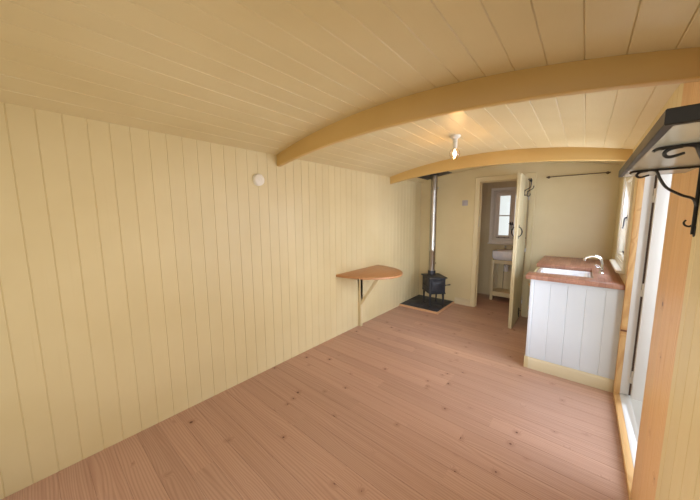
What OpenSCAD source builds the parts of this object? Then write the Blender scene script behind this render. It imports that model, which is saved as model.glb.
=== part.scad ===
// Room section of a shepherds hut: three bays of a boarded room under a vaulted ceiling on arched
// bows, a partition with a plank door, and the washroom behind it. The near end is open.
// Origin at floor-frame level on the centre line, halfway along the section. +Y runs away from the
// open end, +X is the entrance side, +Z is up.

/* [Room] */
// Clear width between the side linings
room_w = 2490; // [2400:10:2600]
// Spacing of the bows along the hut
bay = 1950; // [1900:10:2000]
// Height of the ceiling above the floor at the side walls
eaves_h = 2018; // [1980:1:2060]
// Rise of the ceiling from the side walls to the crown
vault_rise = 152; // [120:1:180]
// Distance from the open end to the partition
partition_at = 4920; // [4900:10:4940]
// Thickness of the partition
partition_t = 70; // [60:1:80]

/* [Floor, walls and roof] */
// Depth of the floor frame under the boards
frame_h = 138; // [100:1:200]
// Thickness of the floor boards
floor_board_t = 22; // [18:1:28]
// Thickness of the inner lining boards
lining_t = 14; // [10:1:18]
// Thickness of the framed and clad wall behind the lining
wall_t = 72; // [70:1:90]
// Thickness of the ceiling boards
ceiling_t = 14; // [10:1:18]
// Thickness of the insulated roof over the ceiling boards
roof_core_t = 46; // [30:1:60]
// Depth of the roof sheet with its corrugation
roof_sheet_t = 18; // [12:1:24]
// Corrugations of the roof sheet over the length of the section
corrugations = 78; // [40:1:80]
// Overhang of the roof sheet past the side walls
eaves_overhang = 60; // [40:1:90]
// Overhang of the roof sheet past the end boards
end_overhang = 30; // [25:1:50]

/* [Bows] */
// Thickness of a bow along the hut
bow_t = 50; // [40:1:60]
// Height of a bow's underside above the floor at the side walls
bow_spring_h = 1920; // [1900:1:1940]
// Rise of a bow's underside to the crown
bow_rise = 107; // [90:1:120]
// Length of a bow's end that is let into the wall
bow_seat = 60; // [40:1:70]
// Chamfer along a bow's lower edges
bow_arris = 6; // [3:1:10]

/* [Partition door] */
// Hinge side of the doorway, measured from the hut's centre line
door_hinge_x = 360; // [350:1:370]
// Clear width of the doorway
door_w = 640; // [620:1:660]
// Clear height of the doorway
door_h = 1957; // [1940:1:1960]
// Thickness of every door leaf
leaf_t = 40; // [36:1:44]
// Width of the architrave and of its head
architrave_w = 66; // [60:1:80]

/* [Entrance] */
// Near edge of the entrance, from the open end
entrance_near = 2229; // [2200:1:2260]
// Far edge of the entrance, from the open end
entrance_far = 3332; // [3310:1:3340]
// Clear height of the entrance
entrance_h = 1860; // [1800:1:1870]
// Depth of the pine lining round the entrance
pine_depth = 36; // [30:1:38]

/* [Windows] */
// Near edge of the kitchen window's opening, from the open end
kitchen_win_at = 3545; // [3530:1:3560]
// Width of the kitchen window's opening
kitchen_win_w = 660; // [600:10:700]
// Sill height of the kitchen window's opening
kitchen_win_sill = 1040; // [1020:1:1060]
// Height of the kitchen window's opening
kitchen_win_h = 760; // [700:10:800]
// Width of the end window's opening
end_win_w = 580; // [540:10:620]
// Sill height of the end window's opening
end_win_sill = 1010; // [990:1:1030]
// Height of the end window's opening
end_win_h = 875; // [840:1:880]

/* [Kitchen] */
// Front of the unit, from the hut's centre line
unit_front_x = 624; // [600:1:640]
// Near end of the unit, from the open end
unit_near = 3380; // [3370:1:3400]
// Height of the unit under the worktop
unit_h = 865; // [850:1:880]
// Thickness of the worktop
worktop_t = 40; // [30:1:44]
// Overhang of the worktop at the front
worktop_lip = 38; // [20:1:40]
// Near edge of the sink gap in the worktop, from the open end
sink_near = 3545; // [3530:1:3560]
// Far edge of the sink gap in the worktop, from the open end
sink_far = 4125; // [4110:1:4140]

/* [Stove] */
// Flue centre, from the left lining
flue_from_wall = 362; // [340:1:420]
// Flue centre, from the open end
flue_at = 4622; // [4600:1:4650]
// Radius of the flue
flue_r = 50; // [45:1:60]
// Height of the stove's top plate above the floor
stove_h = 500; // [480:1:560]

/* [Table and shelf] */
// Centre of the wall table, from the open end
table_at = 3165; // [3100:5:3200]
// Length of the wall table
table_l = 876; // [800:1:900]
// Reach of the wall table from the wall
table_reach = 600; // [500:5:620]
// Height of the wall table's top above the floor
table_h = 765; // [740:1:780]
// Near end of the wall shelf, from the open end
shelf_near = 1122; // [1100:1:1140]
// Far end of the wall shelf, from the open end
shelf_far = 2012; // [1980:1:2020]
// Depth of the wall shelf
shelf_d = 182; // [160:1:200]
// Height of the wall shelf's underside above the floor
shelf_h = 1604; // [1580:1:1620]

/* [Hidden] */

// Smoothness of the large arcs and of small round pieces
vault_fn = 720;
round_fn = 48;
// A small distance by which a cutting solid passes the face it cuts
past = 5;

half_w = room_w / 2;
section_l = 3 * bay + bow_t;
floor_z = frame_h + floor_board_t;
outer_x = half_w + lining_t + wall_t;
end_in = section_l - lining_t - wall_t;
end_core = section_l - wall_t;
wall_top = floor_z + eaves_h + vault_rise;

// Radius of an arc from its half span and its rise
function arc_r(half, rise) = (half * half + rise * rise) / (2 * rise);
ceil_r = arc_r(half_w, vault_rise);
ceil_zc = wall_top - ceil_r;
bow_r = arc_r(half_w, bow_rise);
bow_zc = floor_z + bow_spring_h + bow_rise - bow_r;
roof_r = ceil_r + ceiling_t + roof_core_t;

// Row position of a distance from the open end
function st(s) = s - section_l / 2;

// Door leaves: gaps, hinge pin and knuckle sizes
hinge_gap = 5;
pin_gap = 2.5;
pin_proud = 7;
leaf_drop = 10;
knuckle_r = 6;
pin_r = 3;
knuckle_bore_r = 3.05;
knuckle_h = 50;
flap_t = 2;
flap_w = 32;
stop_t = 12;
jamb_t = 25;
door_leaf_w = door_w - hinge_gap - 8;
door_leaf_h = door_h - leaf_drop - hinge_gap;
door_pin = [door_hinge_x - pin_gap, st(partition_at) - pin_proud];
door_hinge_z = [230, 980, 1700];

// Entrance: frame faces lie behind the pine stops
entrance_frame_near = entrance_near - stop_t;
entrance_frame_far = entrance_far + stop_t;
entrance_mid = (entrance_near + entrance_far) / 2;
entrance_sill_h = 30;
entrance_leaf_w = (entrance_frame_far - entrance_frame_near) / 2 - 2 * hinge_gap;
entrance_leaf_z = floor_z + entrance_sill_h + hinge_gap;
entrance_leaf_h = entrance_h + stop_t - entrance_sill_h - 2 * hinge_gap;
entrance_pin = [outer_x + pin_proud, st(entrance_frame_far - pin_gap)];
entrance_hinge_z = [150, 850, 1550];
pine_panel_near = 1812;
jamb = jamb_t + stop_t;

// Stove and kitchen places
flue_x = -half_w + flue_from_wall;
flue_y = st(flue_at);
hearth_w = 650;
hearth_l = 700;
hearth_t = 30;
sink_under = 10;
sink_x0 = unit_front_x - 8;
sink_d = 455;
sink_h = 255;
sink_wall = 40;
worktop_x0 = unit_front_x - worktop_lip;
plinth_proud = 6;

// Washroom places
basin_w = 400;
basin_d = 320;
basin_h = 160;
basin_top = 860;
basin_wall = 25;

// Box from its low corner and its high corner
module span(a, b) {
    translate(a) cube([b[0] - a[0], b[1] - a[1], b[2] - a[2]]);
}

// Long round bar along the hut: the solid under one of the roof's arcs
module barrel(r, zc, s0, s1) {
    translate([0, st(s0), zc]) rotate([-90, 0, 0]) cylinder(r = r, h = s1 - s0, $fn = vault_fn);
}

// Everything below the ceiling boards
module under_vault() {
    barrel(ceil_r, ceil_zc, -200, section_l + 200);
}

// Curved layer of the roof between two radii, out to a half width
module vault_layer(r0, r1, half, s0, s1) {
    intersection() {
        difference() {
            barrel(r1, ceil_zc, s0, s1);
            barrel(r0, ceil_zc, s0 - past, s1 + past);
        }
        span([-half, st(s0 - past), wall_top - 500], [half, st(s1 + past), wall_top + 200]);
    }
}

// Hole through the whole roof for the flue
module flue_hole() {
    translate([flue_x, flue_y, floor_z + eaves_h - 100])
        cylinder(r = flue_r + 12, h = 600, $fn = round_fn);
}

// Plate with rounded corners, standing on z = 0
module rounded_plate(w, d, h, r) {
    translate([r, 0, 0]) cube([w - 2 * r, d, h]);
    translate([0, r, 0]) cube([w, d - 2 * r, h]);
    for (x = [r, w - r], y = [r, d - r])
        translate([x, y, 0]) cylinder(r = r, h = h, $fn = round_fn);
}

// Solid under a bow: its underside's arc, wider at both faces by the chamfer
module under_bow(s) {
    wide = bow_arris + past;
    barrel(bow_r, bow_zc, s - past, s + bow_t + past);
    translate([0, st(s - past), bow_zc]) rotate([-90, 0, 0])
        cylinder(r1 = bow_r + wide, r2 = bow_r, h = wide, $fn = vault_fn);
    translate([0, st(s + bow_t - bow_arris), bow_zc]) rotate([-90, 0, 0])
        cylinder(r1 = bow_r, r2 = bow_r + wide, h = wide, $fn = vault_fn);
}

// Bow at a distance from the open end: ceiling arc above, flatter arc below with eased edges, ends
// let into the walls
module bow(s) {
    seat = half_w + bow_seat;
    intersection() {
        difference() {
            barrel(ceil_r, ceil_zc, s, s + bow_t);
            under_bow(s);
        }
        span([-seat, st(s - past), floor_z + bow_spring_h - 60],
             [seat, st(s + bow_t + past), wall_top + past]);
    }
}

module all_bows() {
    bow(0);
    bow(bay);
    bow(2 * bay);
}

// Wall solid cut to the ceiling's arc and to the bows' seats
module wall_block(a, b) {
    difference() {
        intersection() {
            span(a, b);
            under_vault();
        }
        all_bows();
    }
}

module kitchen_window_hole(x0, x1) {
    span([x0, st(kitchen_win_at), floor_z + kitchen_win_sill],
         [x1, st(kitchen_win_at + kitchen_win_w), floor_z + kitchen_win_sill + kitchen_win_h]);
}

module floor_frame() {
    color("#8a7a66") {
        beam = 75;
        joist = 50;
        joists = 12;
        pitch = (section_l - joist) / joists;
        for (side = [-1, 1])
            span([side > 0 ? outer_x - beam : -outer_x, st(0), 0],
                 [side > 0 ? outer_x : beam - outer_x, st(section_l), frame_h]);
        for (i = [0 : joists])
            span([beam - outer_x, st(i * pitch), 0], [outer_x - beam, st(i * pitch + joist), frame_h]);
    }
}

module floor_boards() {
    color("#b98a70")
        span([-outer_x, st(0), frame_h], [outer_x, st(section_l), floor_z]);
}

module left_wall() {
    color("#d8d0b0")
        wall_block([-outer_x, st(0), floor_z], [-half_w - lining_t, st(end_core), wall_top]);
}

module right_wall_near() {
    color("#d8d0b0")
        wall_block([half_w + lining_t, st(0), floor_z],
                   [outer_x, st(entrance_near - jamb), wall_top]);
}

module right_wall_over_door() {
    color("#d8d0b0")
        wall_block([half_w + lining_t, st(entrance_near - jamb), floor_z + entrance_h + jamb],
                   [outer_x, st(entrance_far + jamb), wall_top]);
}

module right_wall_far() {
    color("#d8d0b0") difference() {
        wall_block([half_w + lining_t, st(entrance_far + jamb), floor_z],
                   [outer_x, st(end_core), wall_top]);
        kitchen_window_hole(half_w, outer_x + past);
    }
}

// Lining boards of both sides. On the right they leave out the entrance, the pine panel beside it and
// the kitchen window
module side_linings() {
    x1 = half_w + lining_t;
    color("#e2d6b0") {
        wall_block([-x1, st(0), floor_z], [-half_w, st(end_in), wall_top]);
        difference() {
            wall_block([half_w, st(0), floor_z], [x1, st(end_in), wall_top]);
            span([half_w - past, st(pine_panel_near), floor_z - past],
                 [x1 + past, st(entrance_near), wall_top + past]);
            span([half_w - past, st(entrance_near - past), floor_z - past],
                 [x1 + past, st(entrance_far + jamb), floor_z + entrance_h + jamb]);
            kitchen_window_hole(half_w - past, outer_x);
        }
    }
}

module end_wall() {
    color("#d8d0b0") difference() {
        intersection() {
            union() {
                span([-outer_x, st(end_core), floor_z], [outer_x, st(section_l), wall_top]);
                span([-half_w, st(end_in), floor_z], [half_w, st(end_core), wall_top]);
            }
            under_vault();
        }
        span([-end_win_w / 2, st(end_in - past), floor_z + end_win_sill],
             [end_win_w / 2, st(section_l + past), floor_z + end_win_sill + end_win_h]);
    }
}

module near_bow() {
    color("#cdb98a") bow(0);
}

module middle_bow() {
    color("#cdb98a") bow(bay);
}

module far_bow() {
    color("#cdb98a") bow(2 * bay);
}

module ceiling_boards() {
    color("#e6dcc0") difference() {
        vault_layer(ceil_r, ceil_r + ceiling_t, outer_x, 0, section_l);
        flue_hole();
    }
}

module roof_core() {
    color("#b8a888") difference() {
        vault_layer(ceil_r + ceiling_t, roof_r, outer_x, 0, section_l);
        flue_hole();
    }
}

// Curved sheet whose corrugations run across the hut over the vault: the wavy section of its length,
// turned about the vault's axis
module roof_sheet() {
    sheet_l = section_l + 2 * end_overhang;
    pitch = sheet_l / corrugations;
    gauge = 3;
    low = roof_r;
    high = roof_r + roof_sheet_t - gauge;
    spread = asin((outer_x + eaves_overhang) / (roof_r + roof_sheet_t));
    wave = [for (i = [0 : corrugations - 1], p = [[0.14, low], [0.36, high], [0.64, high], [0.86, low]])
            [p[1], (i + p[0]) * pitch]];
    under = concat([[low, 0]], wave, [[low, sheet_l]]);
    count = len(under);
    over = [for (i = [0 : count - 1]) under[count - 1 - i] + [gauge, 0]];
    color("#6e7a74") difference() {
        translate([0, st(-end_overhang), ceil_zc]) rotate([-90, 0, 0]) rotate([0, 0, -90 - spread])
            rotate_extrude(angle = 2 * spread, $fn = vault_fn) polygon(concat(under, over));
        flue_hole();
    }
}

// Curved boards over the roof's two ends and straight boards under its two eaves
module roof_trim() {
    board = 20;
    fascia_drop = 60;
    color("#d8d0b0") {
        vault_layer(ceil_r, roof_r, outer_x + board, -board, 0);
        vault_layer(ceil_r, roof_r, outer_x + board, section_l, section_l + board);
        intersection() {
            for (side = [-1, 1])
                span([side > 0 ? outer_x : -outer_x - board, st(-board), floor_z + eaves_h - fascia_drop],
                     [side > 0 ? outer_x + board : -outer_x, st(section_l + board), wall_top]);
            barrel(roof_r, ceil_zc, -board, section_l + board);
        }
    }
}

rough_x0 = door_hinge_x - door_w - jamb_t;
rough_x1 = door_hinge_x + jamb_t;
rough_top = floor_z + door_h + jamb_t;

module partition_block(x0, x1, z0) {
    intersection() {
        span([x0, st(partition_at), z0], [x1, st(partition_at + partition_t), wall_top]);
        under_vault();
    }
}

module partition_left() {
    color("#dccf9f") partition_block(-half_w, rough_x0, floor_z);
}

module partition_right() {
    color("#dccf9f") partition_block(rough_x1, half_w, floor_z);
}

module partition_over_door() {
    color("#dccf9f") partition_block(rough_x0, rough_x1, rough_top);
}

// Architrave round the doorway and the skirting beside it, on the partition's room face
module partition_trim() {
    trim_t = 16;
    skirting_h = 105;
    set_back = 6;
    face = st(partition_at);
    x0 = door_hinge_x - door_w - set_back;
    x1 = door_hinge_x + set_back;
    top = floor_z + door_h + set_back;
    color("#ddd0a4") {
        difference() {
            span([x0 - architrave_w, face - trim_t, floor_z], [x1 + architrave_w, face, top + architrave_w]);
            span([x0, face - trim_t - past, floor_z - past], [x1, face + past, top]);
        }
        span([-half_w + hearth_w, face - trim_t, floor_z], [x0 - architrave_w, face, floor_z + skirting_h]);
        span([x1 + architrave_w, face - trim_t, floor_z],
             [unit_front_x - plinth_proud, face, floor_z + skirting_h]);
    }
}

// Jambs, head and stops of the partition doorway
module door_frame() {
    face = st(partition_at);
    back = st(partition_at + partition_t);
    stop_at = face + leaf_t + 6;
    x0 = door_hinge_x - door_w;
    x1 = door_hinge_x;
    top = floor_z + door_h;
    color("#ddd0a4") difference() {
        span([x0 - jamb_t, face, floor_z], [x1 + jamb_t, back, top + jamb_t]);
        span([x0, face - past, floor_z - past], [x1, stop_at, top]);
        span([x0 + stop_t, face, floor_z - past], [x1 - stop_t, back + past, top - stop_t]);
    }
}

// Framed, ledged and braced plank leaf. Its hinge edge is at x = 0, it runs along -X, its flush
// plank face is at y = 0 and its framed face at y = leaf_t
module plank_leaf(w, h) {
    rail = 110;
    stile = 90;
    plank_t = 20;
    mid_z = h * 0.46;
    difference() {
        span([-w, 0, 0], [0, leaf_t, h]);
        span([stile - w, plank_t, rail], [-stile, leaf_t + past, mid_z]);
        span([stile - w, plank_t, mid_z + rail], [-stile, leaf_t + past, h - rail]);
    }
    for (z = [rail, mid_z + rail]) {
        brace_h = (z == rail ? mid_z : h - rail) - z;
        brace_w = 90;
        translate([0, leaf_t - 2, z]) rotate([90, 0, 0])
            linear_extrude(height = leaf_t - plank_t - 2)
                polygon([[-stile, 0], [-stile, brace_w],
                         [stile - w, brace_h], [stile - w, brace_h - brace_w]]);
    }
}

// Stands a leaf drawn by plank_leaf open on the partition's hinge pin
module door_open() {
    translate([door_pin[0], door_pin[1], floor_z + leaf_drop]) rotate([0, 0, 90])
        translate([-pin_gap, pin_proud, 0]) children();
}

module door_leaf() {
    color("#d6cdb0") door_open() plank_leaf(door_leaf_w, door_leaf_h);
}

// Leaf half of a hinge in the leaf's own frame: flap on the hinge edge and a bored knuckle
module leaf_knuckle(z) {
    translate([pin_gap, -pin_proud, z]) difference() {
        cylinder(r = knuckle_r, h = knuckle_h, $fn = round_fn);
        translate([0, 0, -past]) cylinder(r = knuckle_bore_r, h = knuckle_h + 2 * past, $fn = round_fn);
    }
    difference() {
        span([0, -pin_proud, z], [flap_t, flap_w, z + knuckle_h]);
        translate([pin_gap, -pin_proud, z - past])
            cylinder(r = knuckle_r, h = knuckle_h + 2 * past, $fn = round_fn);
    }
}

// Curved pull: two feet on the face and a bowed grip, in the leaf's own frame, towards -Y
module pull(x, z, side) {
    grip_r = 75;
    rod_r = 6;
    foot_r = 14;
    face = side < 0 ? 0 : leaf_t;
    translate([x, face, z]) {
        for (end = [-1, 1])
            translate([0, 0, end * 62]) rotate([side < 0 ? 90 : -90, 0, 0])
                cylinder(r = foot_r, h = 6, $fn = round_fn);
        intersection() {
            translate([0, -side * 38, 0]) rotate([90, 0, 90])
                rotate_extrude($fn = 64) translate([grip_r, 0]) circle(r = rod_r, $fn = 24);
            span([-20, side < 0 ? -60 : 0, -90], [20, side < 0 ? 0 : 60, 90]);
        }
    }
}

// Pair of coat hooks on a back plate, on the plank face
module coat_hooks(x, z) {
    span([x - 12, -4, z - 60], [x + 12, 0, z + 85]);
    for (h = [-20, 70])
        translate([x, -4, z + h]) rotate([0, 90, 0]) translate([0, 0, -5]) difference() {
            cylinder(r = 34, h = 10, $fn = round_fn);
            translate([0, 0, -past]) cylinder(r = 26, h = 10 + 2 * past, $fn = round_fn);
            span([-60, -60, -past], [0, 60, 10 + past]);
            span([-60, 0, -past], [60, 60, 10 + past]);
        }
}

module door_ironwork() {
    color("#26262a") door_open() {
        for (z = door_hinge_z)
            leaf_knuckle(z);
        pull(65 - door_leaf_w, 1235, -1);
        pull(65 - door_leaf_w, 1235, 1);
        coat_hooks(-door_leaf_w / 2, 1800);
    }
}

// Frame half of a hinge about the origin: pin, plain knuckle and a flap along +Y
module frame_knuckle(flap_x) {
    translate([0, 0, -knuckle_h]) {
        cylinder(r = knuckle_r, h = knuckle_h - 0.5, $fn = round_fn);
        difference() {
            span([flap_x - flap_t, 0, 0], [flap_x, flap_w, knuckle_h - 0.5]);
            translate([0, 0, -past]) cylinder(r = knuckle_r, h = knuckle_h + 2 * past, $fn = round_fn);
        }
        cylinder(r = pin_r, h = 2 * knuckle_h, $fn = round_fn);
    }
}

// Places its children about an entrance hinge: the far leaf's, or the near leaf's as its mirror image
module entrance_hinge(far) {
    translate([0, st(entrance_mid), 0]) mirror([0, far ? 0 : 1, 0]) translate([0, -st(entrance_mid), 0])
        translate([entrance_pin[0], entrance_pin[1], entrance_leaf_z]) children();
}

module hinge_pins() {
    color("#26262a") {
        for (z = door_hinge_z)
            translate([door_pin[0], door_pin[1], floor_z + leaf_drop + z])
                frame_knuckle(pin_gap);
        for (far = [true, false], z = entrance_hinge_z)
            entrance_hinge(far) translate([0, 0, z]) rotate([0, 0, 90]) frame_knuckle(pin_gap);
    }
}

// White outer frame of the entrance with its sill
module entrance_frame() {
    x0 = half_w + pine_depth;
    y0 = st(entrance_frame_near);
    y1 = st(entrance_frame_far);
    top = floor_z + entrance_h + stop_t;
    color("#e6e4dc") {
        difference() {
            span([x0, y0 - jamb_t, floor_z], [outer_x, y1 + jamb_t, top + jamb_t]);
            span([x0 - past, y0, floor_z + entrance_sill_h], [outer_x + past, y1, top]);
        }
    }
}

// Pine lining of the entrance, which is also the leaves' stop, and the pine panel on its near side
module entrance_lining() {
    x1 = half_w + pine_depth;
    color("#c8935a") {
        difference() {
            span([half_w, st(entrance_near - jamb), floor_z],
                 [x1, st(entrance_far + jamb), floor_z + entrance_h + jamb]);
            span([half_w - past, st(entrance_near), floor_z + entrance_sill_h],
                 [x1 + past, st(entrance_far), floor_z + entrance_h]);
        }
        intersection() {
            span([half_w, st(pine_panel_near), floor_z], [half_w + lining_t, st(entrance_near), wall_top]);
            difference() {
                under_vault();
                all_bows();
            }
        }
    }
}

// Leaf with its knuckles and pull, standing open on the entrance's far hinge, or mirrored on the near one
module entrance_leaf(far) {
    entrance_hinge(far) translate([pin_gap, -pin_proud, 0]) rotate([0, 0, 180]) {
        plank_leaf(entrance_leaf_w, entrance_leaf_h);
        for (z = entrance_hinge_z)
            leaf_knuckle(z);
        pull(65 - entrance_leaf_w, 1000, -1);
    }
}

module entrance_leaf_far() {
    color("#e6e4dc") entrance_leaf(true);
}

module entrance_leaf_near() {
    color("#e6e4dc") entrance_leaf(false);
}

// Fixed frame, closed sash, casings on both faces and boards under them, about the opening's low
// corner. The opening's width runs along X and the wall's depth along Y, with the room face at y = 0
module window_unit(w, h, depth) {
    frame = 40;
    sash = 45;
    casing_w = 45;
    casing_t = 14;
    sash_y = depth - 52;
    difference() {
        union() {
            span([0, 0, 0], [w, depth, h]);
            span([-casing_w, -casing_t, -casing_w], [w + casing_w, 0, h + casing_w]);
            span([-casing_w, depth, -casing_w], [w + casing_w, depth + casing_t, h + casing_w]);
        }
        span([frame, -casing_t - past, frame], [w - frame, depth + casing_t + past, h - frame]);
    }
    span([-casing_w - 10, depth, -casing_w - 20], [w + casing_w + 10, depth + casing_t + 10, -casing_w]);
    difference() {
        span([frame, sash_y, frame], [w - frame, sash_y + 40, h - frame]);
        span([frame + sash, sash_y - past, frame + sash],
             [w - frame - sash, sash_y + 40 + past, h - frame - sash]);
    }
    span([-casing_w - 10, -casing_t - 40, -casing_w - 20], [w + casing_w + 10, 0, -casing_w]);
}

module pane(w, h, depth) {
    edge = 85;
    span([edge, depth - 35, edge], [w - edge, depth - 31, h - edge]);
}

module at_kitchen_window() {
    translate([half_w, st(kitchen_win_at + kitchen_win_w), floor_z + kitchen_win_sill])
        rotate([0, 0, -90]) children();
}

module at_end_window() {
    translate([-end_win_w / 2, st(end_in), floor_z + end_win_sill]) children();
}

module kitchen_window() {
    color("#ddd8c4") at_kitchen_window() window_unit(kitchen_win_w, kitchen_win_h, lining_t + wall_t);
}

module end_window() {
    color("#ddd8c4") at_end_window() window_unit(end_win_w, end_win_h, lining_t + wall_t);
}

module window_glass() {
    color("#cfe0e0", 0.4) {
        at_kitchen_window() pane(kitchen_win_w, kitchen_win_h, lining_t + wall_t);
        at_end_window() pane(end_win_w, end_win_h, lining_t + wall_t);
    }
}

// Lamp holder on the crown of the ceiling with its globe bulb
module ceiling_lamp() {
    lamp_x = 20;
    lamp_s = 2982;
    rose_r = 46;
    color("#e8e2d0") intersection() {
        translate([lamp_x, st(lamp_s), wall_top]) {
            translate([0, 0, -26]) cylinder(r = rose_r, h = 26 + past, $fn = round_fn);
            translate([0, 0, -116]) cylinder(r = 21, h = 90, $fn = round_fn);
            translate([0, 0, -156]) sphere(r = 47, $fn = round_fn);
        }
        under_vault();
    }
}

// Round detector on the left wall
module smoke_detector() {
    color("#e6e4dc") translate([-half_w, st(1747), floor_z + 1776]) rotate([0, 90, 0])
        rotate_extrude($fn = round_fn)
            polygon([[0, 0], [52, 0], [52, 12], [46, 26], [30, 34], [0, 34]]);
}

module hearth() {
    color("#3a3c40")
        span([-half_w, st(partition_at - hearth_l), floor_z],
             [-half_w + hearth_w, st(partition_at), floor_z + hearth_t]);
}

// Small box stove on four legs, turned to face the room across the corner: body, top plate, door
// frame, ash lip, side lever and flue collar
module stove() {
    body_w = 268;
    body_d = 330;
    body_z = floor_z + 245;
    top_z = floor_z + stove_h;
    plate_t = 12;
    plate_lip = 20;
    flue_back = 93;
    front = -flue_back - body_d / 2;
    color("#2b2d33") translate([flue_x, flue_y, 0]) rotate([0, 0, 45]) {
        translate([-body_w / 2, front, body_z]) rounded_plate(body_w, body_d, top_z - plate_t - body_z, 20);
        translate([-body_w / 2 - plate_lip, front - plate_lip, top_z - plate_t])
            rounded_plate(body_w + 2 * plate_lip, body_d + 2 * plate_lip, plate_t, 16);
        for (x = [35 - body_w / 2, body_w / 2 - 35], y = [front + 35, front + body_d - 35])
            translate([x, y, floor_z + hearth_t])
                cylinder(r1 = 12, r2 = 18, h = body_z - floor_z - hearth_t, $fn = round_fn);
        difference() {
            span([25 - body_w / 2, front - 12, body_z + 30], [body_w / 2 - 25, front, top_z - plate_t - 22]);
            span([55 - body_w / 2, front - 12 - past, body_z + 62],
                 [body_w / 2 - 55, front - 5, top_z - plate_t - 52]);
        }
        span([12 - body_w / 2, front - 40, body_z + 6], [body_w / 2 - 12, front, body_z + 18]);
        translate([body_w / 2, front + 26, floor_z + 372]) rotate([0, 84, 0])
            cylinder(r = 8, h = 84, $fn = round_fn);
        translate([0, 0, top_z]) cylinder(r = flue_r + 10, h = 70, $fn = round_fn);
    }
}

// Flue from the stove's collar to the cowl above the roof
module flue_pipe() {
    foot = floor_z + stove_h + 70;
    top = wall_top + roof_sheet_t + roof_core_t + ceiling_t + 360;
    color("#c9cbcc") {
        translate([flue_x, flue_y, foot]) cylinder(r = flue_r, h = top - foot, $fn = round_fn);
        translate([flue_x, flue_y, top]) cylinder(r = 30, h = 40, $fn = round_fn);
        translate([flue_x, flue_y, top + 40]) cylinder(r1 = flue_r + 40, r2 = 12, h = 45, $fn = round_fn);
        difference() {
            translate([flue_x, flue_y, wall_top - 120])
                cylinder(r1 = flue_r + 50, r2 = flue_r + 6, h = 240, $fn = round_fn);
            barrel(roof_r + roof_sheet_t, ceil_zc, partition_at - 600, partition_at);
        }
    }
}

// Boarded unit along the right wall: end panel, plinth and doors round a gap for the sink
module kitchen_unit() {
    door_t = 10;
    door_gap = 6;
    plinth_h = 109;
    far = st(partition_at);
    z0 = floor_z;
    z1 = floor_z + unit_h;
    edges = [unit_near, sink_near - sink_under, (sink_near + sink_far) / 2, sink_far + sink_under,
             (sink_far + partition_at) / 2, partition_at];
    color("#dadadf") difference() {
        union() {
            span([unit_front_x + door_t, st(unit_near), z0], [half_w, far, z1]);
            for (i = [0 : len(edges) - 2])
                span([unit_front_x, st(edges[i]), z0 + plinth_h],
                     [unit_front_x + door_t, st(edges[i + 1] - door_gap), z1 - door_gap]);
            span([unit_front_x - plinth_proud, st(unit_near) - 12, z0],
                 [half_w, st(unit_near), z0 + plinth_h]);
            span([unit_front_x - plinth_proud, st(unit_near) - 12, z0],
                 [unit_front_x + door_t, far, z0 + plinth_h]);
        }
        span([unit_front_x - past, st(sink_near - sink_under), z1 - sink_h],
             [sink_x0 + sink_d, st(sink_far + sink_under), z1 + past]);
    }
}

// Worktop with the gap that the sink fills from below
module worktop() {
    z0 = floor_z + unit_h;
    color("#b0704a") difference() {
        span([worktop_x0, st(unit_near - 28), z0], [half_w, st(partition_at), z0 + worktop_t]);
        span([worktop_x0 - past, st(sink_near), z0 - past],
             [sink_x0 + sink_d - sink_under, st(sink_far), z0 + worktop_t + past]);
    }
}

// Deep white sink with rounded corners, open at the front under the worktop
module sink() {
    l = sink_far - sink_near + 2 * sink_under;
    z1 = floor_z + unit_h;
    color("#f0f0ee") difference() {
        span([sink_x0, st(sink_near - sink_under), z1 - sink_h],
             [sink_x0 + sink_d, st(sink_near - sink_under) + l, z1]);
        translate([sink_x0 + sink_wall, st(sink_near - sink_under) + sink_wall, z1 - sink_h + sink_wall])
            rounded_plate(sink_d - 2 * sink_wall, l - 2 * sink_wall, sink_h, 35);
    }
}

// Half-round table top fixed to the left wall
module wall_table() {
    t = 26;
    steps = 48;
    outline = [for (i = [0 : steps])
        let (a = 180 * i / steps) [table_reach * sin(a), -table_l / 2 * cos(a)]];
    color("#b08050") translate([-half_w, st(table_at), floor_z + table_h - t])
        linear_extrude(height = t) polygon(outline);
}

// Post on the wall, brace and bearers that carry the table
module table_bracket() {
    post = 45;
    top = floor_z + table_h - 26;
    bearer_h = 40;
    y0 = st(table_at) - post / 2;
    color("#ddd0a4") {
        span([-half_w, y0, floor_z], [-half_w + post, y0 + post, top]);
        span([-half_w + post, y0, top - bearer_h], [-half_w + 400, y0 + post, top]);
        for (side = [-1, 1])
            span([-half_w, side < 0 ? y0 - 280 : y0 + post, top - bearer_h],
                 [-half_w + 30, side < 0 ? y0 : y0 + post + 280, top]);
        translate([-half_w + post, y0 + post, 0]) rotate([90, 0, 0]) linear_extrude(height = post)
            polygon([[0, floor_z + 290], [0, floor_z + 345], [250, top - bearer_h], [305, top - bearer_h]]);
    }
}

module wall_shelf() {
    color("#4a4c4e")
        span([half_w - shelf_d, st(shelf_near), floor_z + shelf_h],
             [half_w, st(shelf_far), floor_z + shelf_h + 28]);
}

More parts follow.
